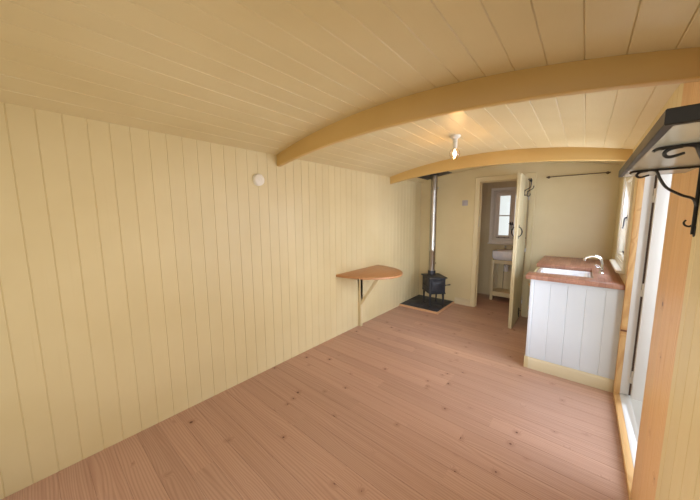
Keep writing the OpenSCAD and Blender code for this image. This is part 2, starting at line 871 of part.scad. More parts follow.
// One forged bracket: arm under the shelf, leg on the wall, quarter ring between them, and a curl
module scroll_bracket(s) {
    bar_w = 16;
    bar_t = 6;
    ring_r = 92;
    arm = 150;
    leg = 220;
    translate([half_w, st(s), floor_z + shelf_h]) {
        span([-arm, 0, -bar_t], [0, bar_w, 0]);
        span([-bar_t, 0, -leg], [0, bar_w, -bar_t]);
        intersection() {
            translate([0, bar_w, 0]) rotate([90, 0, 0]) difference() {
                cylinder(r = ring_r + bar_t, h = bar_w, $fn = 96);
                translate([0, 0, -past]) cylinder(r = ring_r, h = bar_w + 2 * past, $fn = 96);
            }
            span([-arm, -past, -leg], [-bar_t, bar_w + past, -bar_t]);
        }
        translate([-arm + 20, bar_w, -bar_t - 14]) rotate([90, 0, 0]) difference() {
            cylinder(r = 17, h = bar_w, $fn = round_fn);
            translate([0, 0, -past]) cylinder(r = 12, h = bar_w + 2 * past, $fn = round_fn);
            span([0, -30, -past], [30, 8, bar_w + past]);
        }
    }
}

module shelf_brackets() {
    color("#1e1e20") {
        scroll_bracket(1784);
        scroll_bracket(1334);
    }
}

// Black rail with two bosses on the partition
module hook_rail() {
    face = st(partition_at);
    rail_z = floor_z + 1945;
    color("#26262a") {
        translate([545, face - 30, rail_z]) rotate([0, 90, 0]) cylinder(r = 5, h = 610, $fn = round_fn);
        for (x = [565, 1135])
            translate([x, face, rail_z]) rotate([90, 0, 0]) {
                cylinder(r = 16, h = 5, $fn = round_fn);
                cylinder(r = 6, h = 30, $fn = round_fn);
            }
    }
}

// Open wooden stand with rails and a low shelf, under the basin
module washstand() {
    leg = 45;
    rail_h = 60;
    w = basin_w + 10;
    y0 = st(end_in) - basin_d + 6;
    y1 = st(end_in);
    top = floor_z + basin_top - basin_h;
    color("#ddd0a4") {
        for (x = [-w / 2, w / 2 - leg], y = [y0, y1 - leg])
            span([x, y, floor_z], [x + leg, y + leg, top]);
        for (z = [top - rail_h, floor_z + 120])
            difference() {
                span([-w / 2, y0, z], [w / 2, y1, z + rail_h]);
                span([-w / 2 + 22, y0 + 22, z - past], [w / 2 - 22, y1 - 22, z + rail_h + past]);
            }
        span([-w / 2 + 22, y0 + 22, floor_z + 140], [w / 2 - 22, y1 - 22, floor_z + 158]);
    }
}

// White basin with a rounded bowl
module basin() {
    y0 = st(end_in) - basin_d;
    z0 = floor_z + basin_top - basin_h;
    color("#f0f0ee") difference() {
        span([-basin_w / 2, y0, z0], [basin_w / 2, st(end_in), z0 + basin_h]);
        translate([-basin_w / 2 + basin_wall, y0 + basin_wall, z0 + basin_wall])
            rounded_plate(basin_w - 2 * basin_wall, basin_d - 3 * basin_wall, basin_h, 30);
    }
}

floor_frame();
floor_boards();
left_wall();
right_wall_near();
right_wall_over_door();
right_wall_far();
side_linings();
end_wall();
near_bow();
middle_bow();
far_bow();
ceiling_boards();
roof_core();
roof_sheet();
roof_trim();
partition_left();
partition_right();
partition_over_door();
partition_trim();
door_frame();
door_leaf();
door_ironwork();
hinge_pins();
entrance_frame();
entrance_lining();
entrance_leaf_far();
entrance_leaf_near();
kitchen_window();
end_window();
window_glass();
ceiling_lamp();
smoke_detector();
hearth();
stove();
flue_pipe();
kitchen_unit();
worktop();
sink();
wall_table();
table_bracket();
wall_shelf();
shelf_brackets();
hook_rail();
washstand();
basin();
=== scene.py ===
"""Looks of the shepherds hut room section: boards, mouldings, leaves, windows, fittings and finishes.

Every piece is modelled in the row frame, in metres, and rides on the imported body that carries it.
"""
import sys

import logging
import math
from dataclasses import dataclass
from enum import Enum
from typing import Iterable, Sequence

import bmesh
import bpy
from bpy.types import Material, Mesh, NodeSocket, NodeTree, Object
from mathutils import Matrix, Vector


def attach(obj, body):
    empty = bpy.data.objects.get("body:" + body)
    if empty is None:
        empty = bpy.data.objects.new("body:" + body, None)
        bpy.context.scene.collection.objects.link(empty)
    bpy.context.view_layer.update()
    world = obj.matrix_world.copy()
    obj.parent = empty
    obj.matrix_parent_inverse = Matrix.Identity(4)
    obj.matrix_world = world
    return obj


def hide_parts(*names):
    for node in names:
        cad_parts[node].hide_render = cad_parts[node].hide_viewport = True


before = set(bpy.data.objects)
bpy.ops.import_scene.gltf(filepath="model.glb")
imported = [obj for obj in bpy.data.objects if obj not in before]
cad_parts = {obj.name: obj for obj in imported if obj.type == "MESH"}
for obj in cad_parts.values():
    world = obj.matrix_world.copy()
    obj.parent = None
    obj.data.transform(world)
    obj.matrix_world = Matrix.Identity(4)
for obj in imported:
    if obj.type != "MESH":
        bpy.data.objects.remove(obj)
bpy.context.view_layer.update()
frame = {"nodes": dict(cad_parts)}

log = logging.getLogger("hut")

Point = Sequence[float]
Pairs = Sequence[Point]
Colour = tuple[float, float, float, float]
MM = 0.001
HUT = "hut"
FAMILIES = {"s": "ShaderNode", "g": "GeometryNode", "f": "FunctionNode", "n": "NodeGroup"}


class Axis(Enum):
    """Direction in the row frame."""

    X = 0
    Y = 1
    Z = 2


def linear(colour: str) -> Colour:
    """Turns an sRGB hex colour to linear light.

    Args:
        colour: six hex digits after a number sign.

    Returns:
        Red, green, blue and an opacity of one.
    """
    parts = [int(colour[i:i + 2], 16) / 255 for i in (1, 3, 5)]
    r, g, b = (p / 12.92 if p <= 0.04045 else ((p + 0.055) / 1.055) ** 2.4 for p in parts)
    return (r, g, b, 1.0)


def add(tree: NodeTree, kind: str, *values: object, out: int | str = 0, **settings: object) -> NodeSocket | None:
    """Adds a node with its settings, values and links.

    Args:
        tree: tree that takes the node.
        kind: letter of the node's family, a point, the rest of its type name and, after a space, its operation.
        *values: value or socket of each input in turn, None to leave one, or a dict by name or index.
        out: output that is given back.
        **settings: the node's own properties.

    Returns:
        That output of the node, where it has one.
    """
    kind, _, operation = kind.partition(" ")
    node = tree.nodes.new(FAMILIES[kind[0]] + kind[2:])
    if operation:
        settings["operation"] = operation
    for name, value in settings.items():
        setattr(node, name, value)
    for place, given in enumerate(values):
        for key, value in (given if isinstance(given, dict) else {place: given}).items():
            if isinstance(value, NodeSocket):
                tree.links.new(value, node.inputs[key])
            elif value is not None:
                node.inputs[key].default_value = value
    return node.outputs[out] if len(node.outputs) else None


def passed(tree: NodeTree, value: object, *steps: tuple) -> NodeSocket:
    """Passes a value through nodes in turn.

    Args:
        tree: tree that takes them.
        value: what the first one takes.
        *steps: kind of each, as add() takes it, and its values after the first.

    Returns:
        The last one's output.
    """
    for kind, *others in steps:
        value = add(tree, kind, value, *others)
    return value


@dataclass(frozen=True)
class Arc:
    """Arc across the hut, about a line along Y at x = 0."""

    half: float
    spring: float
    rise: float

    @property
    def radius(self) -> float:
        """Radius of the arc."""
        return (self.half ** 2 + self.rise ** 2) / (2 * self.rise)

    @property
    def centre(self) -> float:
        """Height of the arc's centre line."""
        return self.spring + self.rise - self.radius

    def at(self, x: float, lift: float = 0.0) -> float:
        """Height of the arc over x, for a radius larger by lift."""
        return self.centre + math.sqrt((self.radius + lift) ** 2 - x * x)


@dataclass(frozen=True)
class Room:
    """Planes and arcs of the room."""

    half: float = 1.245
    outer: float = 1.331
    near: float = -2.95
    far: float = 2.95
    end_face: float = 2.864
    floor: float = 0.160
    lining: float = 0.014
    cladding: float = 0.016
    partition: float = 1.970
    board: float = 0.098
    vault: Arc = Arc(1.245, 2.178, 0.152)
    bow: Arc = Arc(1.245, 2.080, 0.107)


ROOM = Room()


# Geometry Nodes trees

def new_tree(name: str, sockets: dict[str, str]) -> tuple[NodeTree, dict[str, NodeSocket]]:
    """Starts a Geometry Nodes tree with named inputs.

    Args:
        name: the tree's name.
        sockets: kind of each input by its name, such as Int or Vector.

    Returns:
        The tree and its inputs by name.
    """
    tree = bpy.data.node_groups.new(name, "GeometryNodeTree")
    tree.interface.new_socket("Geometry", in_out="OUTPUT", socket_type="NodeSocketGeometry")
    for label, kind in {"Geometry": "Geometry", **sockets, "Offset": "Vector", "Seed": "Int",
                        "Material": "Material"}.items():
        tree.interface.new_socket(label, in_out="INPUT", socket_type="NodeSocket" + kind)
    return tree, {socket.name: socket for socket in tree.nodes.new("NodeGroupInput").outputs}


def run_tree(tree: NodeTree, mesh: Mesh, values: dict[str, object]) -> Mesh:
    """Runs a tree on a mesh.

    Args:
        tree: the Geometry Nodes tree.
        mesh: what the tree starts from.
        values: value of each named input.

    Returns:
        The result as a plain mesh.
    """
    holder = bpy.data.objects.new("holder", mesh)
    modifier = holder.modifiers.new("tree", "NODES")
    modifier.node_group = tree
    for item in tree.interface.items_tree:
        if item.in_out == "INPUT" and item.name in values:
            modifier[item.identifier] = values[item.name]
    bpy.context.scene.collection.objects.link(holder)
    graph = bpy.context.evaluated_depsgraph_get()
    made = bpy.data.meshes.new_from_object(holder.evaluated_get(graph), preserve_all_data_layers=True,
                                           depsgraph=graph)
    bpy.data.objects.remove(holder)
    return made


def tree_end(tree: NodeTree, geometry: NodeSocket, take: dict[str, NodeSocket]) -> NodeTree:
    """Ends a tree in plain meshes at their offset, with a material.

    Args:
        tree: the tree.
        geometry: what to end with.
        take: the tree's inputs by name.

    Returns:
        The tree.
    """
    real = add(tree, "g.RealizeInstances", geometry)
    moved = add(tree, "g.Transform", {"Geometry": real, "Translation": take["Offset"]})
    add(tree, "n.Output", add(tree, "g.SetMaterial", {"Geometry": moved, "Material": take["Material"]}))
    return tree


def strewn(tree: NodeTree, points: NodeSocket, take: dict[str, NodeSocket],
           inputs: dict[str, NodeSocket]) -> NodeTree:
    """Sets the piece on every point, gives each copy its own number from 0 to 1, and ends the tree.

    Args:
        tree: the tree.
        points: where the copies stand.
        take: the tree's inputs by name.
        inputs: turn, size or piece of the copies, by the input's name.

    Returns:
        The tree.
    """
    copies = add(tree, "g.InstanceOnPoints", {"Points": points, "Instance": take["Geometry"], **inputs})
    number = add(tree, "f.RandomValue", {"Seed": take["Seed"]}, out=1, data_type="FLOAT")
    stored = add(tree, "g.StoreNamedAttribute", {"Geometry": copies, "Name": "board", "Value": number},
                 data_type="FLOAT", domain="INSTANCE")
    return tree_end(tree, stored, take)


def repeat_tree() -> NodeTree:
    """Tree that repeats a piece along a line, and turns it by the same angle each time."""
    tree, take = new_tree("repeat_piece", {"Count": "Int", "Step": "Vector", "Start turn": "Vector",
                                           "Turn": "Vector"})
    index = add(tree, "g.InputIndex")
    along, turned = (add(tree, "s.VectorMath SCALE", {0: take[key], "Scale": index})
                     for key in ("Step", "Turn"))
    points = add(tree, "g.Points", {"Count": take["Count"], "Position": along})
    turn = add(tree, "s.VectorMath ADD", turned, take["Start turn"])
    return strewn(tree, points, take, {"Rotation": turn})


def plank_tree() -> NodeTree:
    """Tree that lays rows of two planks with a joint at a different place in each row."""
    tree, take = new_tree("plank_rows", {"Rows": "Int", "Pitch": "Float", "Half": "Float",
                                         "Joint spread": "Float"})
    index, half, spread = add(tree, "g.InputIndex"), take["Half"], take["Joint spread"]
    row = passed(tree, index, ("s.Math DIVIDE", 2.0), ("s.Math FLOOR",))
    side = passed(tree, index, ("s.Math MODULO", 2.0))
    joint = add(tree, "f.RandomValue", {2: passed(tree, spread, ("s.Math MULTIPLY", -1.0)), 3: spread, "ID": row,
                                        "Seed": take["Seed"]}, out=1, data_type="FLOAT")
    start = add(tree, "s.Mix", side, None, passed(tree, half, ("s.Math MULTIPLY", -1.0)), joint)
    length = add(tree, "s.Mix", side, None, passed(tree, half, ("s.Math ADD", joint)),
                 passed(tree, half, ("s.Math SUBTRACT", joint)))
    place = add(tree, "s.CombineXYZ", start, passed(tree, row, ("s.Math MULTIPLY", take["Pitch"])))
    count = passed(tree, take["Rows"], ("s.Math MULTIPLY", 2.0))
    return strewn(tree, add(tree, "g.Points", {"Count": count, "Position": place}), take,
                  {"Scale": add(tree, "s.CombineXYZ", length, 1.0, 1.0)})


def fixing_tree() -> NodeTree:
    """Tree that sets a fixing at every point of a mesh, facing the way that the point's attribute says."""
    tree, take = new_tree("fixings", {"Piece": "Object"})
    facing = add(tree, "g.InputNamedAttribute", {"Name": "facing"}, data_type="FLOAT_VECTOR")
    spin = add(tree, "f.RandomValue", {3: math.pi, "Seed": take["Seed"]}, out=1, data_type="FLOAT")
    turn = add(tree, "f.AlignRotationToVector", {"Vector": facing}, axis="Z")
    both = add(tree, "f.RotateRotation", turn, add(tree, "s.CombineXYZ", {2: spin}), rotation_space="LOCAL")
    piece = add(tree, "g.ObjectInfo", {"Object": take["Piece"]}, out="Geometry")
    points = add(tree, "g.MeshToPoints", {"Mesh": take["Geometry"]})
    return strewn(tree, points, take, {"Instance": piece, "Rotation": both})


def sheet_tree() -> NodeTree:
    """Tree that lays a corrugated sheet over the vault, with its ridges across the hut."""
    tree, take = new_tree("corrugated_sheet", {"Half angle": "Float", "Length": "Float", "Radius": "Float",
                                               "Pitch": "Float", "Depth": "Float", "Centre": "Float",
                                               "Across": "Int", "Along": "Int"})
    grid = add(tree, "g.MeshGrid", passed(tree, take["Half angle"], ("s.Math MULTIPLY", 2.0)), take["Length"],
               take["Across"], take["Along"])
    turn = add(tree, "s.SeparateXYZ", add(tree, "g.InputPosition"))
    along = turn.node.outputs[1]
    wave = passed(tree, along, ("s.Math MULTIPLY", math.tau), ("s.Math DIVIDE", take["Pitch"]), ("s.Math SINE",))
    depth = passed(tree, take["Depth"], ("s.Math MULTIPLY", 0.5))
    radius = passed(tree, wave, ("s.Math MULTIPLY_ADD", depth, take["Radius"]))
    x = passed(tree, turn, ("s.Math SINE",), ("s.Math MULTIPLY", radius))
    z = passed(tree, turn, ("s.Math COSINE",), ("s.Math MULTIPLY_ADD", radius, take["Centre"]))
    laid = add(tree, "g.SetPosition", {"Geometry": grid, "Position": add(tree, "s.CombineXYZ", x, along, z)})
    return tree_end(tree, laid, take)


REPEAT, PLANKS, FIXINGS, SHEET = repeat_tree(), plank_tree(), fixing_tree(), sheet_tree()


# Finishes

@dataclass(frozen=True)
class Finish:
    """A material and how its surface was made."""

    name: str
    colour: str = "#808080"

    def material(self) -> Material:
        """Material of this finish, made once."""
        made = bpy.data.materials.get(self.name)
        if made is None:
            made = bpy.data.materials.new(self.name)
            made.use_nodes = True
            made.node_tree.nodes.clear()
            add(made.node_tree, "s.OutputMaterial", self.dress(made.node_tree))
            made.diffuse_color = linear(self.colour)
        return made

    def dress(self, tree: NodeTree) -> NodeSocket:
        """Shader of the finish."""
        raise NotImplementedError


def object_place(tree: NodeTree, scale: Point = (1, 1, 1), shift: Point = (0, 0, 0)) -> NodeSocket:
    """Object coordinates, moved by a different way on each board and then scaled.

    Args:
        tree: the material's tree.
        scale: scale along each axis.
        shift: how far a board's own number moves the pattern, along each axis.

    Returns:
        The vector socket.
    """
    place = add(tree, "s.TexCoord", out="Object")
    if any(shift):
        number = add(tree, "s.Attribute", out="Fac", attribute_name="board")
        moved = add(tree, "s.VectorMath SCALE", {0: shift, "Scale": number})
        place = add(tree, "s.VectorMath ADD", place, moved)
    return add(tree, "s.VectorMath MULTIPLY", place, tuple(scale))


def drawn_out(along: Axis, across: float, lengthwise: float) -> tuple[float, float, float]:
    """Scale that draws a pattern out along one axis."""
    return tuple(lengthwise if i == along.value else across for i in range(3))


def cloudy(tree: NodeTree, scale: Point, shift: Point = (0, 0, 0), detail: float = 3.0) -> NodeSocket:
    """Uneven pattern on the piece's own coordinates.

    Args:
        tree: the material's tree.
        scale: scale along each axis.
        shift: how far a board's own number moves it.
        detail: how fine its smallest parts are.

    Returns:
        Its value, about 0.5.
    """
    return add(tree, "s.TexNoise", {"Vector": object_place(tree, scale, shift), "Scale": 1.0, "Detail": detail})


def stained(tree: NodeTree, base: object, colour: str, pattern: NodeSocket, low: float, high: float,
            strength: float = 1.0) -> NodeSocket:
    """Lays a colour over another where a pattern is strong.

    Args:
        tree: the material's tree.
        base: the colour under it.
        colour: the colour on top.
        pattern: value that says where.
        low: value of the pattern at which it starts.
        high: value at which it is at its full strength.
        strength: that strength.

    Returns:
        The colour socket.
    """
    share = add(tree, "s.MapRange", pattern, low, high, 0.0, strength)
    return add(tree, "s.Mix", {0: share, 6: base, 7: linear(colour)}, out=2, data_type="RGBA")


def toned(tree: NodeTree, colour: object, spread: float) -> NodeSocket:
    """Makes a colour a little lighter or darker on each board, by the board's own number."""
    number = add(tree, "s.Attribute", out="Fac", attribute_name="board")
    value = add(tree, "s.MapRange", number, 0.0, 1.0, 1.0 - spread, 1.0 + spread)
    return add(tree, "s.HueSaturation", {"Value": value, "Color": colour})


def surface(tree: NodeTree, base: object, rough: object, height: NodeSocket, depth_mm: float,
            **more: float) -> NodeSocket:
    """Shader of a surface with a colour, a roughness and a relief.

    Args:
        tree: the material's tree.
        base: its colour.
        rough: its roughness.
        height: the relief.
        depth_mm: depth of the relief in millimetres.
        **more: other inputs, with low lines in place of spaces.

    Returns:
        The shader.
    """
    relief = add(tree, "s.Bump", {"Height": height, "Strength": 1.0, "Distance": depth_mm * MM})
    return add(tree, "s.BsdfPrincipled", {"Base Color": base, "Roughness": rough, "Normal": relief,
                                          **{key.replace("_", " "): value for key, value in more.items()}})


@dataclass(frozen=True)
class Paint(Finish):
    """Eggshell paint brushed on softwood: soft sheen, fine strokes along the board, boards a shade apart.

    The strokes are drawn 2.2 mm apart, coarser than a brush leaves them, so that they show.
    """

    along: Axis = Axis.Z
    shade: str = "#808080"
    sheen: float = 0.42
    spread: float = 0.025
    stroke_mm: float = 2.2

    def dress(self, tree: NodeTree) -> NodeSocket:
        """Shader of the finish."""
        per_metre = 1 / (self.stroke_mm * MM)
        strokes = cloudy(tree, drawn_out(self.along, per_metre, per_metre * 0.03), (3.1, 5.7, 4.3), 2.0)
        grain = cloudy(tree, drawn_out(self.along, 60.0, 2.0), (7.3, 3.9, 5.1), 4.0)
        base = stained(tree, linear(self.colour), self.shade, cloudy(tree, [1.3] * 3, detail=4.0), 0.35, 0.65)
        base = stained(tree, base, self.shade, grain, 0.62, 0.80, 0.35)
        sheen = add(tree, "s.MapRange", strokes, 0.3, 0.7, self.sheen - 0.06, self.sheen + 0.08)
        height = passed(tree, strokes, ("s.Math MULTIPLY_ADD", 0.35, grain))
        return surface(tree, toned(tree, base, self.spread), sheen, height, 0.22)


@dataclass(frozen=True)
class Timber(Finish):
    """Planed softwood or hardwood: growth rings drawn out along the grain, fine fibres and round knots.

    The fibres are drawn about 2 mm apart, coarser than the real ones, so that they show.
    """

    along: Axis = Axis.X
    thin: Axis = Axis.Z
    dark: str = "#704828"
    knot: str = "#4a2818"
    ring_mm: float = 9.0
    knots: float = 0.6
    gloss: float = 0.40
    spread: float = 0.10
    ring_show: float = 0.55

    def knot_reach(self, tree: NodeTree) -> tuple[NodeSocket, NodeSocket]:
        """How far a spot is past its knot's edge: one cell of the pattern holds one knot.

        Args:
            tree: the material's tree.

        Returns:
            The reach past the edge, and the knot's size.
        """
        cell, stretch, widest = 0.105, 0.24, 0.013
        flat, back = [1 / cell] * 3, [cell] * 3
        flat[self.along.value] *= stretch
        flat[self.thin.value] *= 0.02
        back[self.along.value] /= stretch
        back[self.thin.value] = 0.0
        place = object_place(tree, flat, (11.0, 17.0, 5.0))
        cells = add(tree, "s.TexVoronoi", {"Vector": place, "Scale": 1.0, "Randomness": 1.0}).node.outputs
        away = add(tree, "s.VectorMath SUBTRACT", place, cells["Position"])
        real = add(tree, "s.VectorMath MULTIPLY", away, tuple(back))
        reach = add(tree, "s.VectorMath LENGTH", real, out="Value")
        chance = add(tree, "s.SeparateColor", cells["Color"])
        size = add(tree, "s.MapRange", chance, 1.0 - self.knots, 1.0, 0.0, widest)
        return passed(tree, reach, ("s.Math SUBTRACT", size)), size

    def dress(self, tree: NodeTree) -> NodeSocket:
        """Shader of the finish."""
        near, size = self.knot_reach(tree)
        edge, reach, least, full, bowed, sway = 0.004, 0.034, 0.001, 0.004, 0.035, 0.16
        core = add(tree, "s.MapRange", near, 0.0, -edge, interpolation_type="SMOOTHSTEP")
        halo = passed(tree, add(tree, "s.MapRange", near, reach, 0.0, interpolation_type="SMOOTHSTEP"),
                      ("s.Math MULTIPLY", add(tree, "s.MapRange", size, least, full)))
        drift = cloudy(tree, drawn_out(self.along, 5.0, 0.7), (9.0, 7.0, 8.0), 2.0)
        across = next(a for a in Axis if a not in (self.along, self.thin))
        apart = add(tree, "s.SeparateXYZ", object_place(tree, (1, 1, 1), (0.31, 0.37, 0.23)), out=across.value)
        place = passed(tree, drift, ("s.Math MULTIPLY_ADD", sway, apart))
        phase = passed(tree, halo, ("s.Math MULTIPLY_ADD", bowed, place))
        wave = passed(tree, phase, ("s.Math MULTIPLY", math.tau / (self.ring_mm * MM)), ("s.Math SINE",))
        fibres = cloudy(tree, drawn_out(self.along, 520.0, 9.0), (6.0, 8.0, 7.0))
        streaks = cloudy(tree, drawn_out(self.along, 46.0, 1.1), (5.0, 9.0, 6.0), 4.0)
        rings = add(tree, "s.MapRange", passed(tree, fibres, ("s.Math MULTIPLY_ADD", 0.9, wave)), 0.1, 1.5, 0.0,
                    self.ring_show, interpolation_type="SMOOTHSTEP")
        base = stained(tree, linear(self.colour), self.dark, rings, 0.0, 1.0)
        base = stained(tree, base, self.dark, streaks, 0.45, 0.75, 0.45)
        base = stained(tree, base, self.dark, halo, 0.2, 1.0, 0.55)
        base = stained(tree, toned(tree, base, self.spread), self.knot, core, 0.0, 1.0)
        sheen = add(tree, "s.MapRange", fibres, 0.3, 0.7, self.gloss - 0.06, self.gloss + 0.10)
        return surface(tree, base, sheen, passed(tree, wave, ("s.Math MULTIPLY_ADD", 0.25, fibres)), 0.18)


@dataclass(frozen=True)
class Staves(Finish):
    """Oiled hardwood worktop glued up from short staves, each with its own tone and a fine grain.

    The grain is drawn over 2 mm apart, coarser than the real one, so that it shows.
    """

    dark: str = "#7c4428"
    stave_mm: float = 42.0
    length_mm: float = 420.0
    glue_mm: float = 0.4

    def dress(self, tree: NodeTree) -> NodeSocket:
        """Shader of the finish."""
        turned = add(tree, "s.Mapping", {"Vector": add(tree, "s.TexCoord", out="Object"),
                                         "Rotation": (0.0, 0.0, math.pi / 2)})
        brick = add(tree, "s.TexBrick",
                    {"Vector": turned, "Color1": (0, 0, 0, 1), "Color2": (1, 1, 1, 1), "Mortar": (0.5, 0.5, 0.5, 1),
                     "Scale": 1.0, "Mortar Size": self.glue_mm * MM, "Brick Width": self.length_mm * MM,
                     "Row Height": self.stave_mm * MM}).node.outputs
        fibres = cloudy(tree, (420.0, 7.0, 420.0), detail=4.0)
        base = stained(tree, linear(self.colour), self.dark, brick["Color"], 0.0, 1.0, 0.75)
        base = stained(tree, base, self.dark, cloudy(tree, (70.0, 2.2, 70.0), detail=4.0), 0.40, 0.72, 0.5)
        base = stained(tree, base, "#3c2014", brick["Fac"], 0.0, 1.0, 0.7)
        return surface(tree, base, add(tree, "s.MapRange", fibres, 0.3, 0.7, 0.30, 0.44), fibres, 0.10)


@dataclass(frozen=True)
class Metal(Finish):
    """Bare metal: drawn tube keeps fine lines along it, plating is nearly a mirror.

    The lines are drawn 1.2 mm apart, coarser than drawing leaves them, so that they show.
    """

    along: Axis = Axis.Z
    roughness: float = 0.25
    line_mm: float = 1.2

    def dress(self, tree: NodeTree) -> NodeSocket:
        """Shader of the finish."""
        per_metre = 1 / (self.line_mm * MM)
        lines = cloudy(tree, drawn_out(self.along, per_metre, per_metre * 0.01), detail=2.0)
        both = passed(tree, cloudy(tree, drawn_out(self.along, 22.0, 5.0)), ("s.Math MULTIPLY_ADD", 0.8, lines))
        rough = add(tree, "s.MapRange", both, 0.5, 1.3, self.roughness * 0.6, self.roughness * 1.5)
        return surface(tree, linear(self.colour), rough, lines, 0.02, Metallic=1.0)


@dataclass(frozen=True)
class Coated(Finish):
    """Blacked iron, stone, plastic or a coat with a fine tooth: dull to satin, with faint cloudy patches.

    The tooth is drawn coarser than the real one, 1.6 mm where nothing else is given, so that it shows.
    """

    shade: str = "#202020"
    roughness: float = 0.5
    grit_mm: float = 1.6
    depth_mm: float = 0.10
    patch: float = 6.0

    def dress(self, tree: NodeTree) -> NodeSocket:
        """Shader of the finish."""
        patches = cloudy(tree, [self.patch] * 3, detail=4.0)
        base = stained(tree, linear(self.colour), self.shade, patches, 0.35, 0.7)
        rough = add(tree, "s.MapRange", patches, 0.3, 0.7, self.roughness - 0.05, self.roughness + 0.08)
        return surface(tree, base, rough, cloudy(tree, [1 / (self.grit_mm * MM)] * 3), self.depth_mm)


@dataclass(frozen=True)
class Glazed(Finish):
    """Glazed fireclay or china: a clear wet-looking coat over white clay, very slightly uneven."""

    def dress(self, tree: NodeTree) -> NodeSocket:
        """Shader of the finish."""
        pull = cloudy(tree, [14.0] * 3, detail=2.0)
        base = stained(tree, linear(self.colour), "#e6e8ea", pull, 0.3, 0.7)
        return surface(tree, base, 0.12, pull, 0.35, Coat_Weight=0.6, Coat_Roughness=0.04)


@dataclass(frozen=True)
class Glass(Finish):
    """Float glass: clear, with a faint green in its thickness."""

    def dress(self, tree: NodeTree) -> NodeSocket:
        """Shader of the finish."""
        return add(tree, "s.BsdfPrincipled", {"Base Color": linear(self.colour), "Roughness": 0.02, "IOR": 1.45,
                                              "Transmission Weight": 1.0})


@dataclass(frozen=True)
class Lit(Finish):
    """Lit lamp: clear glass bulb washed out by its own warm light."""

    strength: float = 6.0

    def dress(self, tree: NodeTree) -> NodeSocket:
        """Shader of the finish."""
        return add(tree, "s.BsdfPrincipled",
                   {"Base Color": linear(self.colour), "Roughness": 0.1, "Emission Color": linear(self.colour),
                    "Emission Strength": self.strength})


# Shapes

def sharp_edges(faces: Iterable[bmesh.types.BMFace], least_deg: float = 25.0) -> list[bmesh.types.BMEdge]:
    """Edges of some faces that turn by more than an angle."""
    edges = {e for f in faces for e in f.edges}
    return [e for e in edges if len(e.link_faces) == 2 and e.calc_face_angle(0.0) > math.radians(least_deg)]


def ring_on(axis: Axis, outline: Pairs, level: float) -> list[Vector]:
    """Outline of point pairs as 3-D points at a level along an axis, in the other axes' order.

    Args:
        axis: the axis.
        outline: the pairs.
        level: place along the axis.

    Returns:
        The points.
    """
    spots = []
    for a, b in outline:
        spot = [a, b]
        spot.insert(axis.value, level)
        spots.append(Vector(spot))
    return spots


def mm(*values: float) -> list[tuple[float, float]]:
    """Pairs in metres from numbers in millimetres."""
    return [(a * MM, b * MM) for a, b in zip(values[::2], values[1::2])]


def circle(radius: float, steps: int) -> list[tuple[float, float]]:
    """Points of a circle."""
    return [(radius * math.cos(math.tau * i / steps), radius * math.sin(math.tau * i / steps))
            for i in range(steps)]


def corners(low: Point, high: Point) -> list[tuple[float, float]]:
    """Corners of a rectangle between two of them."""
    return [(low[0], low[1]), (high[0], low[1]), (high[0], high[1]), (low[0], high[1])]


def rounded(low: Point, high: Point, radius: float, steps: int = 5) -> list[tuple[float, float]]:
    """Outline of a rectangle with rounded corners.

    Args:
        low: its low corner.
        high: its high corner.
        radius: radius of its corners.
        steps: steps of each corner.

    Returns:
        Its points in order.
    """
    spots = []
    for cx, cy, quarter in ((high[0], high[1], 0), (low[0], high[1], 1), (low[0], low[1], 2), (high[0], low[1], 3)):
        inward = (-radius if quarter in (0, 3) else radius, -radius if quarter in (0, 1) else radius)
        for i in range(steps + 1):
            a = math.pi / 2 * (quarter + i / steps)
            spots.append((cx + inward[0] + radius * math.cos(a), cy + inward[1] + radius * math.sin(a)))
    return spots


def bend(points: Pairs, steps: int = 8) -> list[Vector]:
    """Smooth path through some points.

    Args:
        points: the points.
        steps: steps between two of them.

    Returns:
        The path's points.
    """
    spots = [Vector(p) for p in points]
    path = []
    for i in range(len(spots) - 1):
        p0, p1, p2, p3 = (spots[max(0, min(len(spots) - 1, k))] for k in range(i - 1, i + 3))
        for j in range(steps):
            t = j / steps
            path.append(0.5 * (2 * p1 + (p2 - p0) * t + (2 * p0 - 5 * p1 + 4 * p2 - p3) * t * t
                               + (3 * p1 - p0 - 3 * p2 + p3) * t ** 3))
    return path + [spots[-1]]


